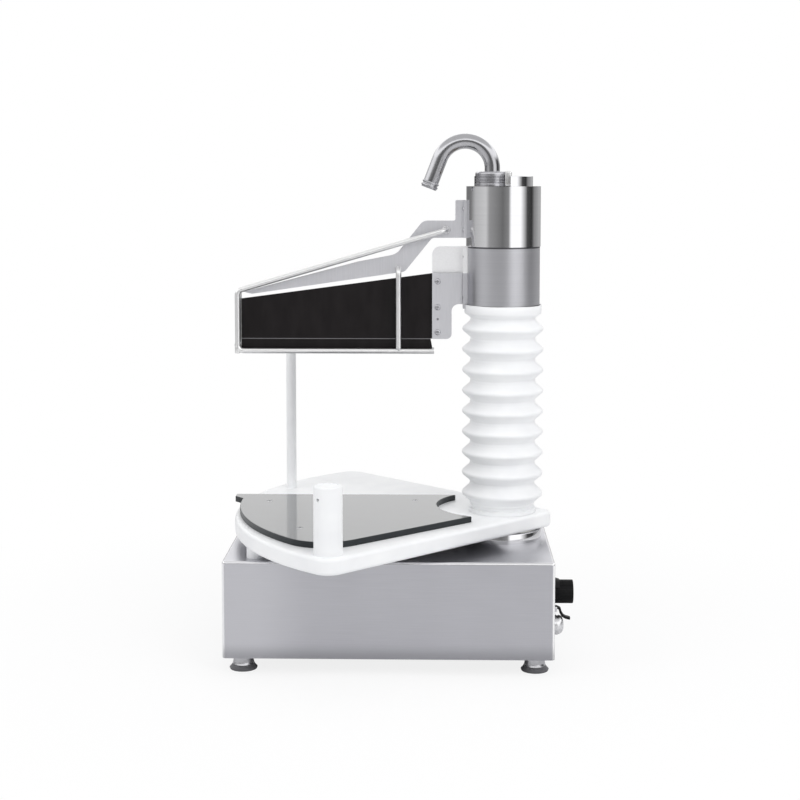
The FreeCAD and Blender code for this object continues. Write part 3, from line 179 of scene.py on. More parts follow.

# %% [markdown]
# Two pieces change their tone with height. The blade's sleeve gets a painted shadow round its
# top, a dark line for the shaded gap where it meets the guard's sleeve, and the bracket is only
# blasted above the clamp plate. The height comes from the piece's own coordinates, so nothing is
# cut: the new tone is laid over what the surface shows so far, as are the painted highlights and shade later.

# %% Tones that change with height
def parts_of(material):
    """The tree, the surface shader and the coordinates of a material made before."""
    kinds = {node.type: node for node in material.node_tree.nodes}
    return material.node_tree, kinds["BSDF_PRINCIPLED"], kinds["TEX_COORD"].outputs["Object"]


def lay_over(tree, shader, amount, value, socket="Base Color"):
    """Lays a colour or a number over what a surface's socket gets so far."""
    kind, first, second, result = ("RGBA", 6, 7, 2) if socket == "Base Color" else ("FLOAT", 2, 3, 0)
    so_far = shader.inputs[socket].links[0].from_socket
    mixed = add(tree, "ShaderNodeMix", {"Factor": amount, first: so_far, second: value}, data_type=kind)
    tree.links.new(mixed.outputs[result], shader.inputs[socket])


def band(material, code, low, high):
    """Lays one tone over a material's colour between two heights in metres."""
    tree, shader, place = parts_of(material)
    height = add(tree, "ShaderNodeSeparateXYZ", {"Vector": place}).outputs["Z"]
    inside = add(tree, "ShaderNodeMath", {0: height, 1: (low + high) / 2, 2: (high - low) / 2},
                 operation="COMPARE")
    lay_over(tree, shader, inside.outputs[0], linear(code))
    print("band on", material.name, "from", round(low / mm, 1), "to", round(high / mm, 1), "mm")


gap_shadow_height, past_the_top, past_the_foot = 2.2 * mm, 1.0 * mm, 100 * mm
sleeve_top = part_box("blade_sleeve")[1].z
# Painted shadow: a dark band for the shaded gap where the two sleeves meet.
band(sleeve_satin, "#626266", sleeve_top - gap_shadow_height, sleeve_top + past_the_top)
clamp_foot, clamp_top = [corner.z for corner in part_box("clamp_plate")]
band(blasted_bracket, "#C4C4C8", clamp_foot - past_the_foot, clamp_top)

# %% [markdown]
# The other metals hide inside or at the back: aluminium is cast or milled and anodised, with a
# soft even grain, bearing bronze is turned, warm in colour and slightly mottled, and the air
# inlet is turned from brass. They are metals with a grain too, so the same function serves.

# %% Aluminium, bronze and brass
anodised = stainless("anodised_aluminium", "#B6B8BB", "#C4C6C8", fine, 0.42, 0.52)
bronze = stainless("turned_bearing_bronze", "#8F7B58", "#A08B66", rings, 0.30, 0.38)
brass = stainless("turned_brass", "#C9A44E", "#DDB965", rings, 0.20, 0.28)

# %% [markdown]
# Plastics and rubber are not metals: light enters a little way and comes back in the colour
# of the material. Polyethylene board is machined, so it keeps faint cutter marks and a waxy
# sheen. The bellows is moulded rubber, a little softer. The knob is moulded ABS with fine grit.

# %% Plastics and rubber
def moulded(name, dark, light, grit, smooth, rough, depth, **surface):
    """Plastic or rubber with grit of the given sizes in mm."""
    material, tree, shader, place = start_material(name, **surface)
    clouds = speckle(tree, place, (45, 45, 45), 2.0)
    tone = add(tree, "ShaderNodeValToRGB", {"Fac": clouds}, [(0.3, dark), (0.7, light)])
    grain = speckle(tree, place, grit)
    gloss = add(tree, "ShaderNodeMapRange", {"Value": grain, "From Min": 0.3, "From Max": 0.7,
                                             "To Min": smooth, "To Max": rough})
    relief = add(tree, "ShaderNodeBump", {"Height": grain, "Strength": 0.4, "Distance": depth * mm})
    tree.links.new(tone.outputs["Color"], shader.inputs["Base Color"])
    tree.links.new(gloss.outputs["Result"], shader.inputs["Roughness"])
    tree.links.new(relief.outputs["Normal"], shader.inputs["Normal"])
    return material


polyethylene = moulded("machined_white_polyethylene", "#F0F1F3", "#F6F7F8", (14, 14, 1.2), 0.34, 0.44, 0.02)
white_rubber = moulded("moulded_white_rubber", "#EFF0F2", "#F5F6F7", fine, 0.42, 0.52, 0.02,
                       **{"Sheen Weight": 0.15, "Sheen Roughness": 0.4})
slide_plastic = moulded("turned_slide_plastic", "#E4E4DC", "#ECECE6", (20, 20, 0.8), 0.36, 0.46, 0.02)
black_abs = moulded("moulded_black_abs", "#070708", "#0C0C0D", (0.8, 0.8, 0.8), 0.44, 0.54, 0.03,
                    **{"Specular IOR Level": 0.2})

# %% [markdown]
# The cutting plate is a hard composite board: a glossy lacquered face over a slate-coloured
# core. A clear coat over the colour gives both, a deep tone and a sharp reflection. The sawn
# edges show the bare core, so the coat is only there at the height of the face.

# %% Cutting plate
coat_depth = 0.2 * mm
coat_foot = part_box("cutting_plate")[1].z - coat_depth
plate_board, tree, shader, place = start_material(
    "lacquered_composite_board", **{"Roughness": 0.34, "Specular IOR Level": 0.35, "Coat Roughness": 0.06})
clouds = speckle(tree, place, smoothed)
tone = add(tree, "ShaderNodeValToRGB", {"Fac": clouds}, [(0.3, "#1E2326"), (0.7, "#24292C")])
height = add(tree, "ShaderNodeSeparateXYZ", {"Vector": place}).outputs["Z"]
coated = add(tree, "ShaderNodeMath", {0: height, 1: coat_foot}, operation="GREATER_THAN")
tree.links.new(tone.outputs["Color"], shader.inputs["Base Color"])
tree.links.new(coated.outputs[0], shader.inputs["Coat Weight"])

# %% [markdown]
# The blade is steel under a black non-stick coating that is baked on, so it is satin, nearly
# even, with long faint wipe marks. A thin bright line where the bevel starts is a painted
# highlight for the light that the bevel's edge catches, one more band of tone at its height.

# %% Coated blade
bevel_height, half_line = 24.4 * mm, 0.6 * mm
coated_blade, tree, shader, place = start_material("non_stick_coated_steel", **{"Specular IOR Level": 0.18})
wipes = speckle(tree, place, (16, 16, 60), 4.0)
tone = add(tree, "ShaderNodeValToRGB", {"Fac": wipes}, [(0.35, "#141112"), (0.65, "#1A1718")])
gloss = add(tree, "ShaderNodeMapRange", {"Value": wipes, "To Min": 0.34, "To Max": 0.48})
tree.links.new(tone.outputs["Color"], shader.inputs["Base Color"])
tree.links.new(gloss.outputs["Result"], shader.inputs["Roughness"])
bevel_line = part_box("blade")[0].z + bevel_height
# Painted highlight: a pale band where the bevel's edge would catch the light.
band(coated_blade, "#707072", bevel_line - half_line, bevel_line + half_line)

# %% [markdown]
# The lamp's lens is clear acrylic, drawn as glass with acrylic's index of 1.49. Handling leaves
# a faint haze on it, so its roughness varies a little.

# %% Lens
acrylic, tree, shader, place = start_material(
    "clear_acrylic", **{"Base Color": linear("#F4F8FA"), "Transmission Weight": 1.0, "IOR": 1.49})
haze = speckle(tree, place, fine)
gloss = add(tree, "ShaderNodeMapRange", {"Value": haze, "To Min": 0.02, "To Max": 0.06})
tree.links.new(gloss.outputs["Result"], shader.inputs["Roughness"])

# %% [markdown]
# Where the base's sheet is folded, a painted highlight stands for the light that the bend
# catches: half as much along the top folds as down the front corners, and the bend is smoother
# too. The model's box gives the bends' places: distance from an edge decides where they start.

# %% Painted highlights on the bends of the base
base_low, base_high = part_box("base_housing")
bend_size, top_highlight_share, bend_gloss = 4.4 * mm, 0.5, 0.16
tree, shader, place = parts_of(brushed_sheet)
corner = add(tree, "ShaderNodeSeparateXYZ", {"Vector": place}).outputs


def near(axis, edge):
    """1 close to an edge of the base, fading to 0 on its flat face."""
    away = add(tree, "ShaderNodeMath", {0: corner[axis], 1: edge}, operation="SUBTRACT").outputs[0]
    away = add(tree, "ShaderNodeMath", {0: away}, operation="ABSOLUTE").outputs[0]
    return add(tree, "ShaderNodeMapRange", {"Value": away, "From Min": 0.6 * bend_size, "From Max": bend_size,
                                            "To Min": 1.0, "To Max": 0.0}).outputs["Result"]


front, top = near("Y", base_low.y), near("Z", base_high.z)
left, right = near("X", base_low.x), near("X", base_high.x)
sides = add(tree, "ShaderNodeMath", {0: left, 1: right}, operation="MAXIMUM").outputs[0]
upright = add(tree, "ShaderNodeMath", {0: front, 1: sides}, operation="MULTIPLY").outputs[0]
around = add(tree, "ShaderNodeMath", {0: front, 1: sides}, operation="MAXIMUM").outputs[0]
folds = add(tree, "ShaderNodeMath", {0: around, 1: top}, operation="MULTIPLY").outputs[0]
folds = add(tree, "ShaderNodeMath", {0: folds, 1: top_highlight_share}, operation="MULTIPLY").outputs[0]
bends = add(tree, "ShaderNodeMath", {0: folds, 1: upright}, operation="MAXIMUM").outputs[0]
# Painted highlight: near-white laid over the bends.
lay_over(tree, shader, bends, linear("#FAFAFA"))
lay_over(tree, shader, bends, bend_gloss, "Roughness")
print("bends shine within", round(bend_size / mm, 1), "mm of the base's edges")

# %% [markdown]
# Towards the floor the sheet is darker, a painted shade for the floor's shadow that it mirrors.
# At the left end it is paler, a painted reflection of the brighter room on that side. Each is a
# soft ramp of tone along one axis, laid over the brushed colour.

# %% Painted shade along the base's lower edge and painted reflection at its left end
painted_shade_height, painted_light_inset, painted_light_fade = 28 * mm, 50 * mm, 110 * mm
# Painted reflection paler at the left end, and painted shade darker towards the floor.
for axis, start, reach, strength, code in (("X", base_low.x + painted_light_inset, painted_light_fade, 0.35, "#DADADE"),
                                           ("Z", base_low.z, painted_shade_height, 0.45, "#6C6C70")):
    amount = add(tree, "ShaderNodeMapRange",
                 {"Value": corner[axis], "From Min": start, "From Max": start + reach,
                  "To Min": strength, "To Max": 0.0}, interpolation_type="SMOOTHSTEP")
    lay_over(tree, shader, amount.outputs["Result"], linear(code))
    print("tone", code, "fades along", axis, "over", round(reach / mm), "mm")

# %% [markdown]
# The feet are turned steel that stands on a grey rubber pad, moulded on. Both are one piece in
# the model, so the height over the floor decides between metal and rubber.

# %% Padded feet
pad_height = 9.0 * mm
padded_foot, tree, shader, place = start_material("steel_foot_with_rubber_pad")
height = add(tree, "ShaderNodeSeparateXYZ", {"Vector": place}).outputs["Z"]
metal = add(tree, "ShaderNodeMath", {0: height, 1: pad_height}, operation="GREATER_THAN").outputs[0]
worn = speckle(tree, place, (12, 12, 12))
steel = add(tree, "ShaderNodeValToRGB", {"Fac": worn}, [(0.3, "#A8A8AB"), (0.7, "#B8B8BB")])
tone = add(tree, "ShaderNodeMix", {"Factor": metal, 6: linear("#6A6A6D"), 7: steel.outputs["Color"]},
           data_type="RGBA")
gloss = add(tree, "ShaderNodeMapRange", {"Value": metal, "To Min": 0.62, "To Max": 0.22})
tree.links.new(tone.outputs[2], shader.inputs["Base Color"])
tree.links.new(gloss.outputs["Result"], shader.inputs["Roughness"])
tree.links.new(metal, shader.inputs["Metallic"])

# %% [markdown]
# Every measured piece now gets the finish that such a piece has. One table from finish to
# pieces keeps it easy to see what is made of what, and the print shows that none is missed.

# %% Finishes of the measured pieces
finishes = {
    brushed_sheet: ["base_housing", "base_floor", "deck_stiffener"],
    satin_plate: ["guard_arm", "clamp_plate"],
    blasted_bracket: ["blade_bracket"],
    sleeve_satin: ["blade_sleeve"],
    turned_satin: ["column_tube", "crosshead"],
    turned_bright: ["guard_sleeve", "column_flange", "column_cap", "lamp_socket", "piston_rod"],
    padded_foot: ["adjustable_feet"],
    bright_tube: ["swan_neck", "lamp_collar"],
    cast_chrome: ["valve_body", "lever_bracket"],
    bent_rod: ["guard_front_rods", "guard_rear_rods"],
    screw_steel: ["floor_screws", "foot_lock_nuts", "column_foot_bolts", "flange_screws", "tray_stop_pin",
                  "pad_screws", "lever_pin", "plate_screws", "tray_bolts", "post_set_screw",
                  "bracket_screws", "saddle_screws", "crosshead_pins", "guard_arm_screws"],
    anodised: ["column_foot", "cylinder_barrel", "cylinder_caps", "regulator_body", "valve_block", "piston"],
    bronze: ["sleeve_bushes", "guard_bushes"],
    brass: ["air_inlet"],
    polyethylene: ["swing_tray", "handle_post", "rear_rod", "support_pads", "bellows_ring"],
    white_rubber: ["bellows"],
    slide_plastic: ["thrust_washer", "tray_bush", "sleeve_wiper"],
    black_abs: ["regulator_bezel", "regulator_knob", "valve_lever"],
    plate_board: ["cutting_plate"],
    coated_blade: ["blade"],
    acrylic: ["lamp_lens"],
}
for material, names in finishes.items():
    for name in names:
        nodes[name].data.materials.clear()
        nodes[name].data.materials.append(material)
missed = sorted(set(nodes) - set(sum(finishes.values(), [])))
print("finishes:", len(finishes), "pieces without one:", missed)

# %% [markdown]
# Round pieces are drawn as a lathe makes them: a point is extruded along the outline and spun
# round an axis. The same line, pulled sideways, makes a bent strip. Outlines are in mm, as
# (radius, height) corners, and every piece ends at the origin unturned, as the measured ones do.

# %% Helpers for drawn and turned pieces
def only(piece):
    """Selects one piece alone and makes it the active one."""
    bpy.ops.object.select_all(action="DESELECT")
    piece.select_set(True)
    bpy.context.view_layer.objects.active = piece


def drawn(name, outline, y=0):
    """Starts a piece as a line through (x, z) corners in mm at one y, and stays in edit mode."""
    bpy.ops.object.select_all(action="DESELECT")
    bpy.ops.mesh.primitive_plane_add(size=mm, location=(0, 0, 0))
    piece = bpy.context.object
    piece.name = name
    bpy.ops.object.mode_set(mode="EDIT")
    bpy.ops.mesh.select_mode(type="VERT")
    bpy.ops.mesh.merge(type="CENTER")
    bpy.ops.transform.translate(value=(outline[0][0] * mm, y * mm, outline[0][1] * mm))
    for (x0, z0), (x1, z1) in zip(outline, outline[1:]):
        step = ((x1 - x0) * mm, 0, (z1 - z0) * mm)
        bpy.ops.mesh.extrude_region_move(TRANSFORM_OT_translate={"value": step})
    bpy.ops.mesh.select_all(action="SELECT")
    return piece


def turned(name, outline, sides):
    """Spins an outline of (radius, height) corners in mm round the Z axis."""
    piece = drawn(name, outline)
    bpy.ops.mesh.spin(steps=sides, angle=2 * math.pi, center=(0, 0, 0), axis=(0, 0, 1))
    bpy.ops.mesh.select_all(action="SELECT")
    bpy.ops.mesh.remove_doubles(threshold=0.01 * mm)
    bpy.ops.mesh.normals_make_consistent(inside=False)
    bpy.ops.object.mode_set(mode="OBJECT")
    return piece


def shaped(piece, kind, **settings):
    """Adds a modifier to a piece, sets it and applies it to the mesh."""
    only(piece)
    bpy.ops.object.modifier_add(type=kind)
    modifier = piece.modifiers[-1]
    for name, value in settings.items():
        setattr(modifier, name, value)
    bpy.ops.object.modifier_apply(modifier=modifier.name)


def settle(piece, place=(0, 0, 0), turn=(0, 0, 0)):
    """Turns a piece, in degrees, moves it to its place in mm, and applies both to its mesh."""
    only(piece)
    piece.rotation_euler = [math.radians(a) for a in turn]
    piece.location = Vector(place) * mm
    bpy.ops.object.transform_apply(location=True, rotation=True, scale=True)
    return piece


# %% [markdown]
# The last helpers join pieces that are one in use, and hand a piece over: its finish, its
# shading, the body it moves with, and the plain solids that it stands for.

# %% Helpers for finished pieces
def joined(pieces, name):
    """Joins pieces into the first and names it."""
    bpy.ops.object.select_all(action="DESELECT")
    for piece in pieces:
        piece.select_set(True)
    bpy.context.view_layer.objects.active = pieces[0]
    bpy.ops.object.join()
    pieces[0].name = name
    return pieces[0]


def finish_piece(piece, material, slot, body, *replaced, angle=35):
    """Gives a piece its finish and shading, and ties it to its body and to the nodes it stands for."""
    only(piece)
    bpy.ops.object.shade_smooth_by_angle(angle=math.radians(angle))
    piece.data.materials.clear()
    piece.data.materials.append(material)
    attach(piece, body)
    if replaced:
        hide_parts(*replaced)
    points = [v.co for v in piece.data.vertices]
    low, high = [[round(pick(p[i] for p in points) / mm, 1) for i in range(3)] for pick in (min, max)]
    print(piece.name, "faces:", len(piece.data.polygons), "from", low, "to", high)


# %% [markdown]
# The bellows is moulded rubber with nine folds, which shields the column from food and water
# and flattens as the blade comes down. Its crests and valleys are rounded by the mould, so the
# outline is a chain of arcs, joined by flanks at 47 degrees and spun round the column. The
# wall is added inside. A low, broad unevenness follows, because a soft tube never stands
# perfectly straight.

# %% Bellows
bellows_low, bellows_high = [corner.z for corner in box_mm("bellows")]
foot_height, cuff_height = 7.2, 23.7
first_fold, last_fold = bellows_low + foot_height, bellows_high - cuff_height
folds, flank = 9, 47
pitch = (last_fold - first_fold) / folds
crest, valley, foot, cuff = 69.5, 55.5, 53.0, 66.0
crest_round, valley_round, valley_flat = 5.0, 4.0, 1.5
rubber_wall, lean, lean_size = 2.0, 2.4, 90


def arc(radius, rounding, height, angles):
    """Corners of a rounded crest, or of a valley where the rounding is below zero."""
    turns = [math.radians(a) for a in angles]
    return [(radius - rounding * (1 - math.cos(t)), height + abs(rounding) * math.sin(t)) for t in turns]


outline = [(foot, bellows_low), (foot, bellows_low + 4.5), (foot + 1.0, first_fold - 1.2)]
for i in range(folds):
    start = first_fold + i * pitch
    outline += arc(valley, -valley_round, start + valley_flat, (-20, 0, 20, flank))
    outline += arc(crest, crest_round, start + pitch / 2, (-flank, -30, -15, 0, 15, 30, flank))
    outline += arc(valley, -valley_round, start + pitch - valley_flat, (-flank,))
outline += [(valley, last_fold), (valley + 0.6, last_fold + 1.8), (cuff - 6.0, last_fold + 5.0),
            (cuff - 1.4, last_fold + 7.6), (cuff - 0.3, last_fold + 9.2), (cuff, last_fold + 10.8),
            (cuff, bellows_high - 1.2), (cuff - 1.0, bellows_high)]
bellows = turned("rubber_bellows", outline, 112)
shaped(bellows, "SOLIDIFY", thickness=rubber_wall * mm, offset=-1)
unevenness = bpy.data.textures.new("soft_unevenness", "CLOUDS")
unevenness.noise_scale = lean_size * mm
shaped(bellows, "DISPLACE", texture=unevenness, texture_coords="LOCAL", direction="Z",
       strength=lean * mm, mid_level=0.5)
settle(bellows, (column_x, 0, 0))
finish_piece(bellows, white_rubber, "white_rubber", "root", "bellows", angle=60)
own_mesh(bellows)

# %% [markdown]
# Each screw is turned, with a rounded head or one that lies flush, and then a hexagon is cut
# into its head with a boolean, as a socket is broached. One master of each size is copied to
# its places, so all screws of a kind are alike.

# %% Helper for screws with sockets
def screws(name, outline, across, depth, spots, turn):
    """One screw along Z with its head up, socketed and copied to spots in mm."""
    master = turned(name, outline, 40)
    head_top = outline[-1][1]
    bpy.ops.mesh.primitive_cylinder_add(vertices=6, radius=across / math.sqrt(3) * mm,
                                        depth=2 * depth * mm, location=(0, 0, head_top * mm))
    socket = bpy.context.object
    shaped(master, "BOOLEAN", object=socket)
    bpy.data.objects.remove(socket)
    copies = []
    for spot in spots:
        copy = master.copy()
        copy.data = master.data.copy()
        bpy.context.scene.collection.objects.link(copy)
        copies.append(settle(copy, spot, turn))
    bpy.data.objects.remove(master)
    return joined(copies, name)


# %% [markdown]
# Three round-headed screws and a plain dowel hold the blade in its clamp, and smaller ones of
# the same kind hold the guard's arm to its sleeve. Their heads stand on the plates' faces.

# %% Screws of the blade and the guard
clamp_low = box_mm("clamp_plate")[0]
hole_inset, clamp_rows, dowel_row = 9.5, (11.7, 54.5, 99.0), 34.0
clamp_x = clamp_low.x + hole_inset
button = [(0, -9.9), (2.3, -9.9), (2.5, -9.6), (2.5, 0), (5.0, 0), (5.0, 1.0), (4.7, 1.9), (3.9, 2.6),
          (2.6, 3.0), (0, 3.0)]
clamp_spots = [(clamp_x, clamp_low.y, clamp_low.z + row) for row in clamp_rows]
clamp_screws = screws("clamp_screws", button, 3.0, 1.7, clamp_spots, (90, 0, 0))
pin = [(0, -10.4), (1.9, -10.4), (2.0, -10.0), (2.0, -0.9), (1.7, -0.5), (0, -0.5)]
dowel = settle(turned("dowel", pin, 32), (clamp_x, clamp_low.y, clamp_low.z + dowel_row), (90, 0, 0))
clamp_screws = joined([clamp_screws, dowel], "clamp_screws")
finish_piece(clamp_screws, screw_steel, "fastener_steel", "head", "bracket_screws")

head_radius, head_height = 3.6, 2.0
small_button = [(0, -9.9), (1.8, -9.9), (2.0, -9.6), (2.0, 0), (head_radius, 0), (head_radius, 0.7),
                (3.2, 1.4), (2.2, head_height), (0, head_height)]
arm_low, arm_high = box_mm("guard_arm_screws")
arm_rows = (arm_low.z + head_radius, arm_high.z - head_radius)
arm_side = arm_high.y - head_radius
arm_spots = [(arm_low.x + head_height, y, z) for z in arm_rows for y in (-arm_side, arm_side)]
arm_screws = screws("arm_screws", small_button, 2.5, 1.2, arm_spots, (0, -90, 0))
finish_piece(arm_screws, screw_steel, "fastener_steel", "guard", "guard_arm_screws")

# %% [markdown]
# Where a head would be in the way of a hand or a blade, screws are countersunk and lie flush:
# four in the bracket's saddle on the sleeve, and three in the cutting plate. Both share one head.

# %% Flush screws of the saddle and the plate
flush_head = [(2.5, -2.25), (4.65, -0.1), (4.65, 0), (0, 0)]
sleeve_low, sleeve_high = box_mm("blade_sleeve")
head_proud, row_above_foot, row_below_top, saddle_side = 0.1, 12.0, 17.0, 10
saddle_x = box_mm("saddle_screws")[0].x - head_proud
saddle_rows = (sleeve_low.z + row_above_foot, sleeve_high.z - row_below_top)
saddle_spots = [(saddle_x, y, z) for z in saddle_rows for y in (-saddle_side, saddle_side)]
saddle_screws = screws("saddle_socket_screws", [(0, -11.9), (2.3, -11.9), (2.5, -11.6)] + flush_head,
                       3.0, 2.0, saddle_spots, (0, -90, 0))
finish_piece(saddle_screws, screw_steel, "fastener_steel", "head", "saddle_screws")

head_sunk, plate_holes = 0.3, ((334, -190), (405, 20), (150, 30))
plate_z = box_mm("cutting_plate")[1].z - head_sunk
plate_spots = [(column_x - reach, y, plate_z) for reach, y in plate_holes]
plate_screws = screws("plate_socket_screws", [(0, -24.6), (1.8, -24.6), (2.5, -23.6)] + flush_head,
                      3.0, 2.0, plate_spots, (0, 0, 0))
finish_piece(plate_screws, screw_steel, "fastener_steel", "tray", "plate_screws")

# %% [markdown]
# The lamp's socket is turned from bar with three grip grooves and a rounded top. It is a ring
# with a floor, and the swan neck stands in its bore. One loop cuts the grooves, all alike.

# %% Lamp socket
socket_low, socket_high = box_mm("lamp_socket")
socket_x, lamp_y = middle(socket_low.x, socket_high.x), middle(socket_low.y, socket_high.y)
rim, groove_floor, socket_bore, socket_floor = 29.0, 27.9, 13.1, 4.0
profile = [(0, 0), (rim - 0.6, 0), (rim, 0.6), (rim, 4.5)]
for groove in (5.1, 9.9, 14.7):
    profile += [(rim - 0.1, groove - 0.3), (groove_floor, groove + 0.3), (groove_floor, groove + 1.5),
                (rim - 0.1, groove + 2.1)]
profile += [(rim, 19.1), (rim, 21.5), (rim - 0.6, 23.4), (rim - 1.8, 24.6), (rim - 3.6, 25.0),
            (socket_bore + 0.9, 25.0), (socket_bore + 0.3, 24.4), (socket_bore, 23.9),
            (socket_bore, socket_floor), (0, socket_floor)]
outline = [(radius, socket_low.z + up) for radius, up in profile]
lamp_socket = settle(turned("grooved_lamp_socket", outline, 96), (socket_x, lamp_y, 0))
finish_piece(lamp_socket, machined_grip, "polished_stainless", "root", "lamp_socket")

# %% [markdown]
# The lamp's head screws off for cleaning, so its collar has two rolled beads with a neck
# between them. It is turned and then laid along the last leg of the swan neck.

# %% Lamp collar
leg_reach, leg_height, leg_turn, bore = 123.5, 800.27, (0, -159, 0), 11.05
leg_end = (column_x - leg_reach, lamp_y, leg_height)
outline = [(bore, 0), (13.6, 0), (14.2, 0.5), (14.5, 1.4), (14.5, 2.4), (14.1, 3.2), (13.2, 3.6),
           (13.0, 4.3), (13.0, 5.2), (13.4, 5.8), (14.2, 6.1), (14.5, 6.9), (14.5, 8.6), (14.2, 9.4),
           (13.4, 9.8), (13.2, 10.4), (13.5, 10.9), (13.4, 11.6), (12.8, 12.0), (11.8, 12.0),
           (11.2, 11.6), (bore, 11.0), (bore, 0)]
collar = settle(turned("rolled_lamp_collar", outline, 72), leg_end, leg_turn)
finish_piece(collar, bright_tube, "polished_stainless", "lamp", "lamp_collar")

# %% [markdown]
# The knob is moulded with grip flutes along its skirt. It starts as a cylinder whose rims are
# rounded; then every second side face is pushed in and the front face is sunk. Insets keep the
# flutes' ends closed, which grooves cut right through would not. The faces are picked by a rule
# instead of by hand.

# %% Knob
def pick_faces(piece, wanted):
    """Opens a piece in edit mode with only the wanted faces selected."""
    bpy.ops.object.mode_set(mode="EDIT")
    bpy.ops.mesh.select_mode(type="FACE")
    bpy.ops.mesh.select_all(action="DESELECT")
    bpy.ops.object.mode_set(mode="OBJECT")
    for face in piece.data.polygons:
        face.select = wanted(face)
    bpy.ops.object.mode_set(mode="EDIT")


def step_round(face, step):
    """Which step of so many degrees round the Z axis a face lies in."""
    return int(math.degrees(math.atan2(face.center.y, face.center.x)) % 360 // step)


knob_low, knob_high = box_mm("regulator_knob")
knob_radius = round((knob_high.y - knob_low.y) / 2, 2)
knob_length = round(knob_high.x - knob_low.x, 2)
knob_place = (middle(knob_low.x, knob_high.x), middle(knob_low.y, knob_high.y), knob_high.z - knob_radius)
flutes = 40
bpy.ops.mesh.primitive_cylinder_add(vertices=flutes * 2, radius=knob_radius * mm, depth=knob_length * mm)
knob = bpy.context.object
knob.name = "fluted_knob"
shaped(knob, "BEVEL", width=0.9 * mm, segments=3)
pick_faces(knob, lambda face: abs(face.normal.z) < 0.05 and step_round(face, 180 / flutes) % 2 == 0)
bpy.ops.mesh.inset(thickness=0.25 * mm, depth=-0.6 * mm, use_individual=True)
pick_faces(knob, lambda face: face.normal.z > 0.9 and face.center.xy.length < mm)
bpy.ops.mesh.inset(thickness=1.4 * mm)
bpy.ops.mesh.inset(thickness=3.0 * mm, depth=-0.8 * mm)
bpy.ops.object.mode_set(mode="OBJECT")
settle(knob, knob_place, (0, 90, 0))
finish_piece(knob, black_abs, "black_plastic", "knob", "regulator_knob")

# %% [markdown]
# The hub under the tray is a polished ring with a crisp rim, which mirrors the soft boxes as
# bright and dark blocks. It is turned with its upper edges rounded, and fits round the column
# between the deck and the thrust washer.

# %% Hub
hub_low, hub_high = [corner.z for corner in box_mm("column_flange")]
hub_bore, hub_rim = column_radius + 0.05, 68.0
outline = [(hub_bore, hub_low), (hub_rim, hub_low), (hub_rim, hub_high - 1.1),
           (hub_rim - 0.4, hub_high - 0.3), (hub_rim - 1.2, hub_high), (hub_bore + 0.55, hub_high),
           (hub_bore, hub_high - 0.6), (hub_bore, hub_low)]
hub = settle(turned("polished_hub", outline, 144), (column_x, 0, 0))
finish_piece(hub, turned_bright, "polished_stainless", "root", "column_flange")

# %% [markdown]
# The valve lever is a pressed strip: up at its pin, then down and out to a finger tip. Its side
# view is drawn as a line and pulled to the strip's width; a modifier gives it its thickness,
# and its edges are rounded by a bevel.

# %% Valve lever
pin_low, pin_high = box_mm("lever_pin")
pin_x, pin_y, pin_z = [middle(low, high) for low, high in zip(pin_low, pin_high)]
lever_wide, lever_thick, lever_edge = 11.0, 4.2, 1.1
lever_steps = [(-0.65, 0), (3.35, 2.4), (7.65, 0.4), (9.15, -5.4), (12.35, -11.4), (17.35, -14.4),
               (25.15, -16.2)]
lever_path = [(pin_x + out, pin_z + up) for out, up in lever_steps]
lever = drawn("pressed_lever", lever_path, pin_y - lever_wide / 2)
bpy.ops.mesh.extrude_region_move(TRANSFORM_OT_translate={"value": (0, lever_wide * mm, 0)})
bpy.ops.mesh.select_all(action="SELECT")
bpy.ops.mesh.normals_make_consistent(inside=False)
bpy.ops.object.mode_set(mode="OBJECT")
shaped(lever, "SOLIDIFY", thickness=lever_thick * mm, offset=0.0)
shaped(lever, "BEVEL", width=lever_edge * mm, segments=3, limit_method="ANGLE")
finish_piece(lever, black_abs, "black_plastic", "lever", "valve_lever", angle=60)

# %% [markdown]
# The guard's rods are welded to its sheet arm and to each other. Every weld is a ring of
# metal that ran round the joint, so it is a thin torus, made a little lumpy by a noise texture.
# Each row below has the ring's place on one side, its turn, its radius and the bead's radius.

# %% Welds
upright_x, frame_plane, arm_face = -276.9, 13.0, 2.0
crossbar_x, brace_x = column_x - 179.0, column_x - 98.0
weld_rings = [((brace_x, arm_face, 718.0), (90, 0, 0), 5.6, 1.9),
              ((crossbar_x, arm_face, 652.0), (90, 0, 0), 4.9, 1.3),
              ((crossbar_x, frame_plane, 514.4), (0, 0, 0), 4.9, 1.3),
              ((upright_x, 8.9, 520.8), (90, 0, 0), 3.9, 0.9)]
weld_lumps = bpy.data.textures.new("weld_lumps", "CLOUDS")
weld_lumps.noise_scale = 4 * mm
beads = []
for (x, y, z), turn, ring_radius, bead_radius in weld_rings:
    for side in (-1, 1):
        bpy.ops.mesh.primitive_torus_add(major_radius=ring_radius * mm, minor_radius=bead_radius * mm,
                                         major_segments=32, minor_segments=10)
        bead = settle(bpy.context.object, (x, side * y, z), turn)
        shaped(bead, "DISPLACE", texture=weld_lumps, texture_coords="LOCAL", strength=bead_radius * 0.9 * mm)
        beads.append(bead)
finish_piece(joined(beads, "weld_beads"), weld_metal, "stainless_rod", "guard", angle=60)

# %% [markdown]
# The uprights of the guard run on past the rails' bends, so its lower corners are square. A
# short cylinder with a bevelled rim ends each upright flush with the underside of its rail.

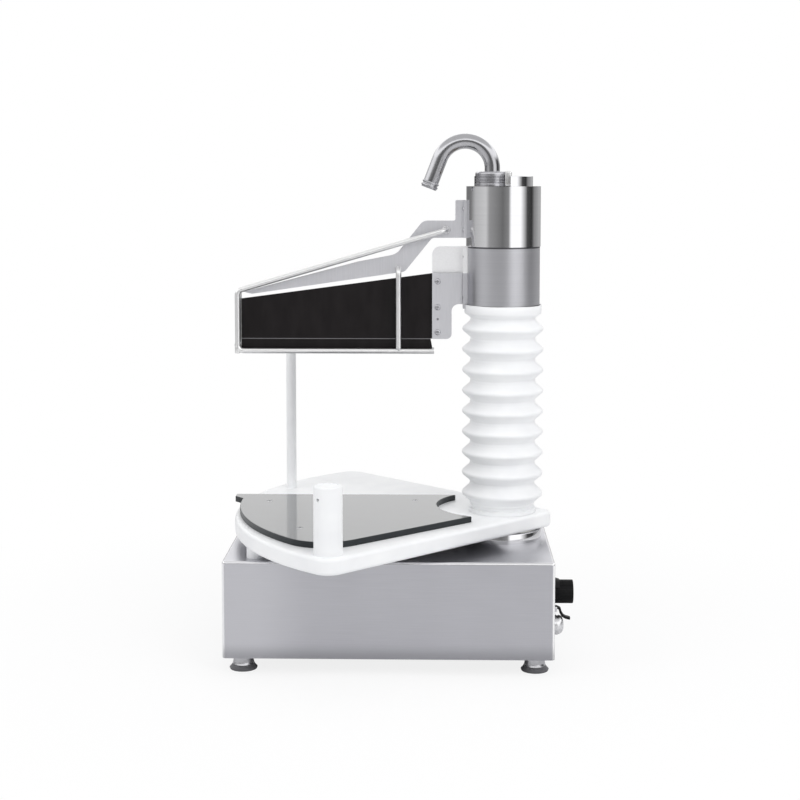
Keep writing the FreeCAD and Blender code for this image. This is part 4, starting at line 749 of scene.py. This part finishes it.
# %% Corner ends of the guard
rail_bottom, end_length, end_radius = 506.35, 13.0, 4.45
ends = []
for side in (-1, 1):
    bpy.ops.mesh.primitive_cylinder_add(vertices=48, radius=end_radius * mm, depth=end_length * mm)
    end = settle(bpy.context.object, (upright_x, side * frame_plane, rail_bottom + end_length / 2))
    shaped(end, "BEVEL", width=0.5 * mm, segments=2)
    ends.append(end)
finish_piece(joined(ends, "guard_corner_ends"), bent_rod, "stainless_rod", "guard", angle=40)

# %% [markdown]
# A small block beside the lamp's socket holds it to the column's cap. It is a cube with its
# edges rounded by a bevel, as on a small casting.

# %% Socket block
block_size, block_offset = Vector((12.0, 26.0, 25.6)), Vector((6.65, -12.5, 13.1))
bpy.ops.mesh.primitive_cube_add(size=1)
block = bpy.context.object
block.name = "socket_block"
block.scale = block_size * mm
settle(block, Vector((column_x, lamp_y, socket_low.z)) + block_offset)
shaped(block, "BEVEL", width=2.6 * mm, segments=4)
finish_piece(block, bent_rod, "polished_stainless", "root", angle=60)

# %% [markdown]
# Compressed air comes in at the back, through a brass fitting: a hexagon to turn it by and a
# tail with barbs that bite into the hose. The hexagon is a six-sided cylinder with its edges
# bevelled; the tail is turned with its bore, and both are laid along Y and joined.

# %% Air inlet
inlet_low, inlet_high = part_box("air_inlet")
back_face = box_mm("base_housing")[1].y
inlet_place = ((inlet_low.x + inlet_high.x) / 2 / mm, back_face, (inlet_low.z + inlet_high.z) / 2 / mm)
across_flats, hex_length, barb_pitch, barb_foot = 18.9, 7.0, 3.6, 8.6
bpy.ops.mesh.primitive_cylinder_add(vertices=6, radius=across_flats / math.sqrt(3) * mm,
                                    depth=hex_length * mm, location=(0, 0, hex_length / 2 * mm))
hexagon = bpy.context.object
shaped(hexagon, "BEVEL", width=0.6 * mm, segments=2)
outline = [(0, -13.9), (6.6, -13.9), (7.0, -13.3), (7.0, hex_length - 0.5), (4.0, hex_length),
           (4.0, barb_foot)]
for i in range(3):
    barb = barb_foot + i * barb_pitch
    outline += [(4.9, barb), (4.9, barb + 0.5), (3.9, barb + barb_pitch)]
outline += [(3.5, 20.6), (2.8, 21.0), (2.6, 20.6), (2.6, -9.0), (0, -9.0)]
tail = turned("barbed_air_inlet", outline, 48)
for part in (hexagon, tail):
    settle(part, inlet_place, (-90, 0, 0))
inlet = joined([tail, hexagon], "barbed_air_inlet")
finish_piece(inlet, brass, "bronze", "root", "air_inlet")

# %% [markdown]
# The room is a plain studio. The floor is pale paper. Close to the machine it glows not quite
# as white as the surroundings, so the soft shadow still shows, and from about a metre on it is
# just as white, which hides the horizon as a paper roll hung behind the machine would. Only the
# camera sees that glow, so it lights nothing.

# %% Floor
floor_size, fade_start, fade_end, glow_near = 12.0, 0.3, 1.1, 0.84
bpy.ops.mesh.primitive_plane_add(size=floor_size, location=(0, 0, 0))
floor = bpy.context.object
floor.name = "studio_floor"
paper, tree, shader, place = start_material(
    "pale_paper", **{"Base Color": linear("#F7F7F8"), "Roughness": 0.9})
distance = add(tree, "ShaderNodeVectorMath", {"Vector": place}, operation="LENGTH").outputs["Value"]
glow = add(tree, "ShaderNodeMapRange", {"Value": distance, "From Min": fade_start, "From Max": fade_end,
                                        "To Min": glow_near}, interpolation_type="SMOOTHSTEP")
path = add(tree, "ShaderNodeLightPath")
seen = add(tree, "ShaderNodeMath", {0: glow.outputs["Result"], 1: path.outputs["Is Camera Ray"]},
           operation="MULTIPLY")
white = add(tree, "ShaderNodeEmission", {"Color": linear("#FFFFFF"), "Strength": 1.0})
blend = add(tree, "ShaderNodeMixShader", {0: seen.outputs[0], 1: shader.outputs["BSDF"], 2: white.outputs[0]})
output = [n for n in tree.nodes if n.type == "OUTPUT_MATERIAL"][0]
tree.links.new(blend.outputs[0], output.inputs["Surface"])
floor.data.materials.append(paper)
print("floor:", floor_size, "m, white from", fade_end, "m on")

# %% [markdown]
# What polished steel shows is the room. Going round the machine, the walls have bright and dim
# steps, which give turned steel its stripes, and the side where the camera stands is dim. Above
# them hang the soft boxes, the wall behind is pale, and the ceiling over them is half as
# bright. The steps are heights and directions on a sphere, from -1 to 1.

# %% Walls that metal mirrors
world = bpy.data.worlds.new("white_studio")
bpy.context.scene.world = world
world.use_nodes = True
tree = world.node_tree
tree.nodes.clear()
direction = add(tree, "ShaderNodeSeparateXYZ",
                {"Vector": add(tree, "ShaderNodeTexCoord").outputs["Generated"]}).outputs
toward_camera = add(tree, "ShaderNodeMath", {0: direction["Y"], 1: -1.0}, operation="MULTIPLY")
turn = add(tree, "ShaderNodeMath", {0: direction["X"], 1: toward_camera.outputs[0]}, operation="ARCTAN2")
around = add(tree, "ShaderNodeMapRange",
             {"Value": turn.outputs[0], "From Min": -math.pi, "From Max": math.pi})
room_steps = [(-180, "#8E8E8E"), (-150, "#686868"), (-122, "#727272"), (-98, "#AFAFAF"), (-58, "#C2C2C2"),
              (-46, "#8E8E8E"), (-20, "#787878"), (-4, "#666666"), (14, "#808080"), (22, "#FFFFFF"),
              (52, "#FFFFFF"), (64, "#B8B8B8"), (76, "#444444"), (96, "#303030"), (108, "#808080"),
              (140, "#A4A4A4"), (180, "#8E8E8E")]
stops = [((angle + 180) / 360, code) for angle, code in room_steps]
room = add(tree, "ShaderNodeValToRGB", {"Fac": around.outputs["Result"]}, stops)
parts = {}
for name, axis, low, high, reach in (("boxes", "Z", 0.24, 0.36, 1.0), ("ceiling", "Z", 0.54, 0.64, 1.1),
                                     ("behind", "Y", 0.3, 0.8, 0.55), ("raised", "Z", 0.08, 0.16, 1.0)):
    parts[name] = add(tree, "ShaderNodeMapRange",
                      {"Value": direction[axis], "From Min": low, "From Max": high, "To Max": reach},
                      interpolation_type="SMOOTHSTEP").outputs["Result"]
print("room:", len(room_steps), "steps round it, and", ", ".join(parts))

# %% [markdown]
# The parts of the room are put together by taking the brighter of two, and everything is made
# brighter by one factor, which rises where the soft boxes are and drops at the ceiling.

# %% Brightness of the room
box_tone, wall_level, box_gain = "#F0F0F0", 1.5, 0.7
back_wall = add(tree, "ShaderNodeMath", {0: parts["behind"], 1: parts["raised"]}, operation="MULTIPLY")
bright = add(tree, "ShaderNodeMath", {0: parts["boxes"], 1: back_wall.outputs[0]},
             operation="MAXIMUM").outputs[0]
mirrored = add(tree, "ShaderNodeMix", {"Factor": bright, 6: room.outputs["Color"], 7: linear(box_tone)},
               data_type="RGBA")
lit = add(tree, "ShaderNodeMath", {0: bright, 1: box_gain, 2: wall_level}, operation="MULTIPLY_ADD")
level = add(tree, "ShaderNodeMath", {0: lit.outputs[0], 1: parts["ceiling"]}, operation="SUBTRACT")
brighter = add(tree, "ShaderNodeVectorMath", {0: mirrored.outputs[2], "Scale": level.outputs[0]},
               operation="SCALE")
print("walls at", wall_level, "soft boxes at", wall_level + box_gain, "times their tone")

# %% [markdown]
# Matt surfaces, such as rubber and paper, would smear those stripes anyway, so they get a plain
# grey light that grows towards the zenith and leaves the undersides darker. The camera and the
# lens see plain white. The kind of ray decides between the three.

# %% What each kind of ray sees
light_low, light_high, full_height = 0.33, 0.60, 0.5
overhead = add(tree, "ShaderNodeMapRange", {"Value": direction["Z"], "From Min": 0.0, "From Max": full_height,
                                            "To Min": light_low, "To Max": light_high}).outputs["Result"]
soft = add(tree, "ShaderNodeCombineColor", {"Red": overhead, "Green": overhead, "Blue": overhead})
path = add(tree, "ShaderNodeLightPath").outputs
reflected = add(tree, "ShaderNodeMix", {"Factor": path["Is Glossy Ray"], 6: soft.outputs["Color"],
                                        7: brighter.outputs[0]}, data_type="RGBA")
seen = add(tree, "ShaderNodeMath", {0: path["Is Camera Ray"], 1: path["Is Transmission Ray"]},
           operation="MAXIMUM")
shown = add(tree, "ShaderNodeMix", {"Factor": seen.outputs[0], 6: reflected.outputs[2], 7: linear("#FFFFFF")},
            data_type="RGBA")
background = add(tree, "ShaderNodeBackground", {"Color": shown.outputs[2], "Strength": 1.0})
add(tree, "ShaderNodeOutputWorld", {"Surface": background.outputs[0]})
print("light on matt surfaces from", light_low, "to", light_high)

# %% [markdown]
# Three soft boxes shape the machine: a key light to the right of the camera, a weaker fill to
# its left and one above. They are large, so shadows stay soft. Metal doesn't mirror them,
# because the room above already shows it where the bright boxes are.

# %% Soft boxes
target = Vector((0, 0, 0.42))


def soft_box(name, turn, rise, away, width, height, watts):
    """Area light at an angle round the object from the camera's side, facing its middle."""
    a, e = math.radians(turn), math.radians(rise)
    back = Vector((math.sin(a) * math.cos(e), -math.cos(a) * math.cos(e), math.sin(e)))
    data = bpy.data.lights.new(name, "AREA")
    data.shape = "RECTANGLE"
    data.size, data.size_y = width, height
    data.energy = watts
    lamp = bpy.data.objects.new(name, data)
    bpy.context.scene.collection.objects.link(lamp)
    lamp.location = target + back * away
    lamp.rotation_euler = (-back).to_track_quat("-Z", "Y").to_euler()
    lamp.visible_glossy = False
    print(name, "at", [round(c, 2) for c in lamp.location], watts, "W")


soft_box("key_soft_box", turn=42, rise=34, away=3.0, width=1.8, height=2.0, watts=35)
soft_box("fill_soft_box", turn=-62, rise=22, away=3.2, width=1.6, height=2.0, watts=24)
soft_box("top_soft_box", turn=0, rise=84, away=2.6, width=2.2, height=2.2, watts=14)

# %% [markdown]
# The camera stands a little to the right of the middle, at the height of the lamp, and looks
# slightly down. A small vertical shift keeps the uprights nearly parallel, as in the photograph.
# The focal length is known in pixels of the picture, and the sensor's width turns it into mm.

# %% Camera
camera_place = (0.0651, -2.6945, 0.8100)
camera_down, camera_left, camera_shift = 4.5, 1.344, -0.1252
focal_pixels, picture_pixels, sensor_width = 1574.4, 800, 36.0
camera_data = bpy.data.cameras.new("camera")
camera_data.sensor_width = sensor_width
camera_data.lens = focal_pixels / picture_pixels * sensor_width
camera_data.shift_y = camera_shift
camera = bpy.data.objects.new("camera", camera_data)
camera.location = camera_place
camera.rotation_euler = (math.radians(90 - camera_down), 0, math.radians(camera_left))
bpy.context.scene.collection.objects.link(camera)
bpy.context.scene.camera = camera
bpy.context.scene.view_settings.view_transform = "Standard"
print("camera at", camera_place, "lens", round(camera_data.lens, 1), "mm")

# %% [markdown]
# Blender brings every object's place up to date once more, as the scene's last step.

# %% Last update
bpy.context.view_layer.update()
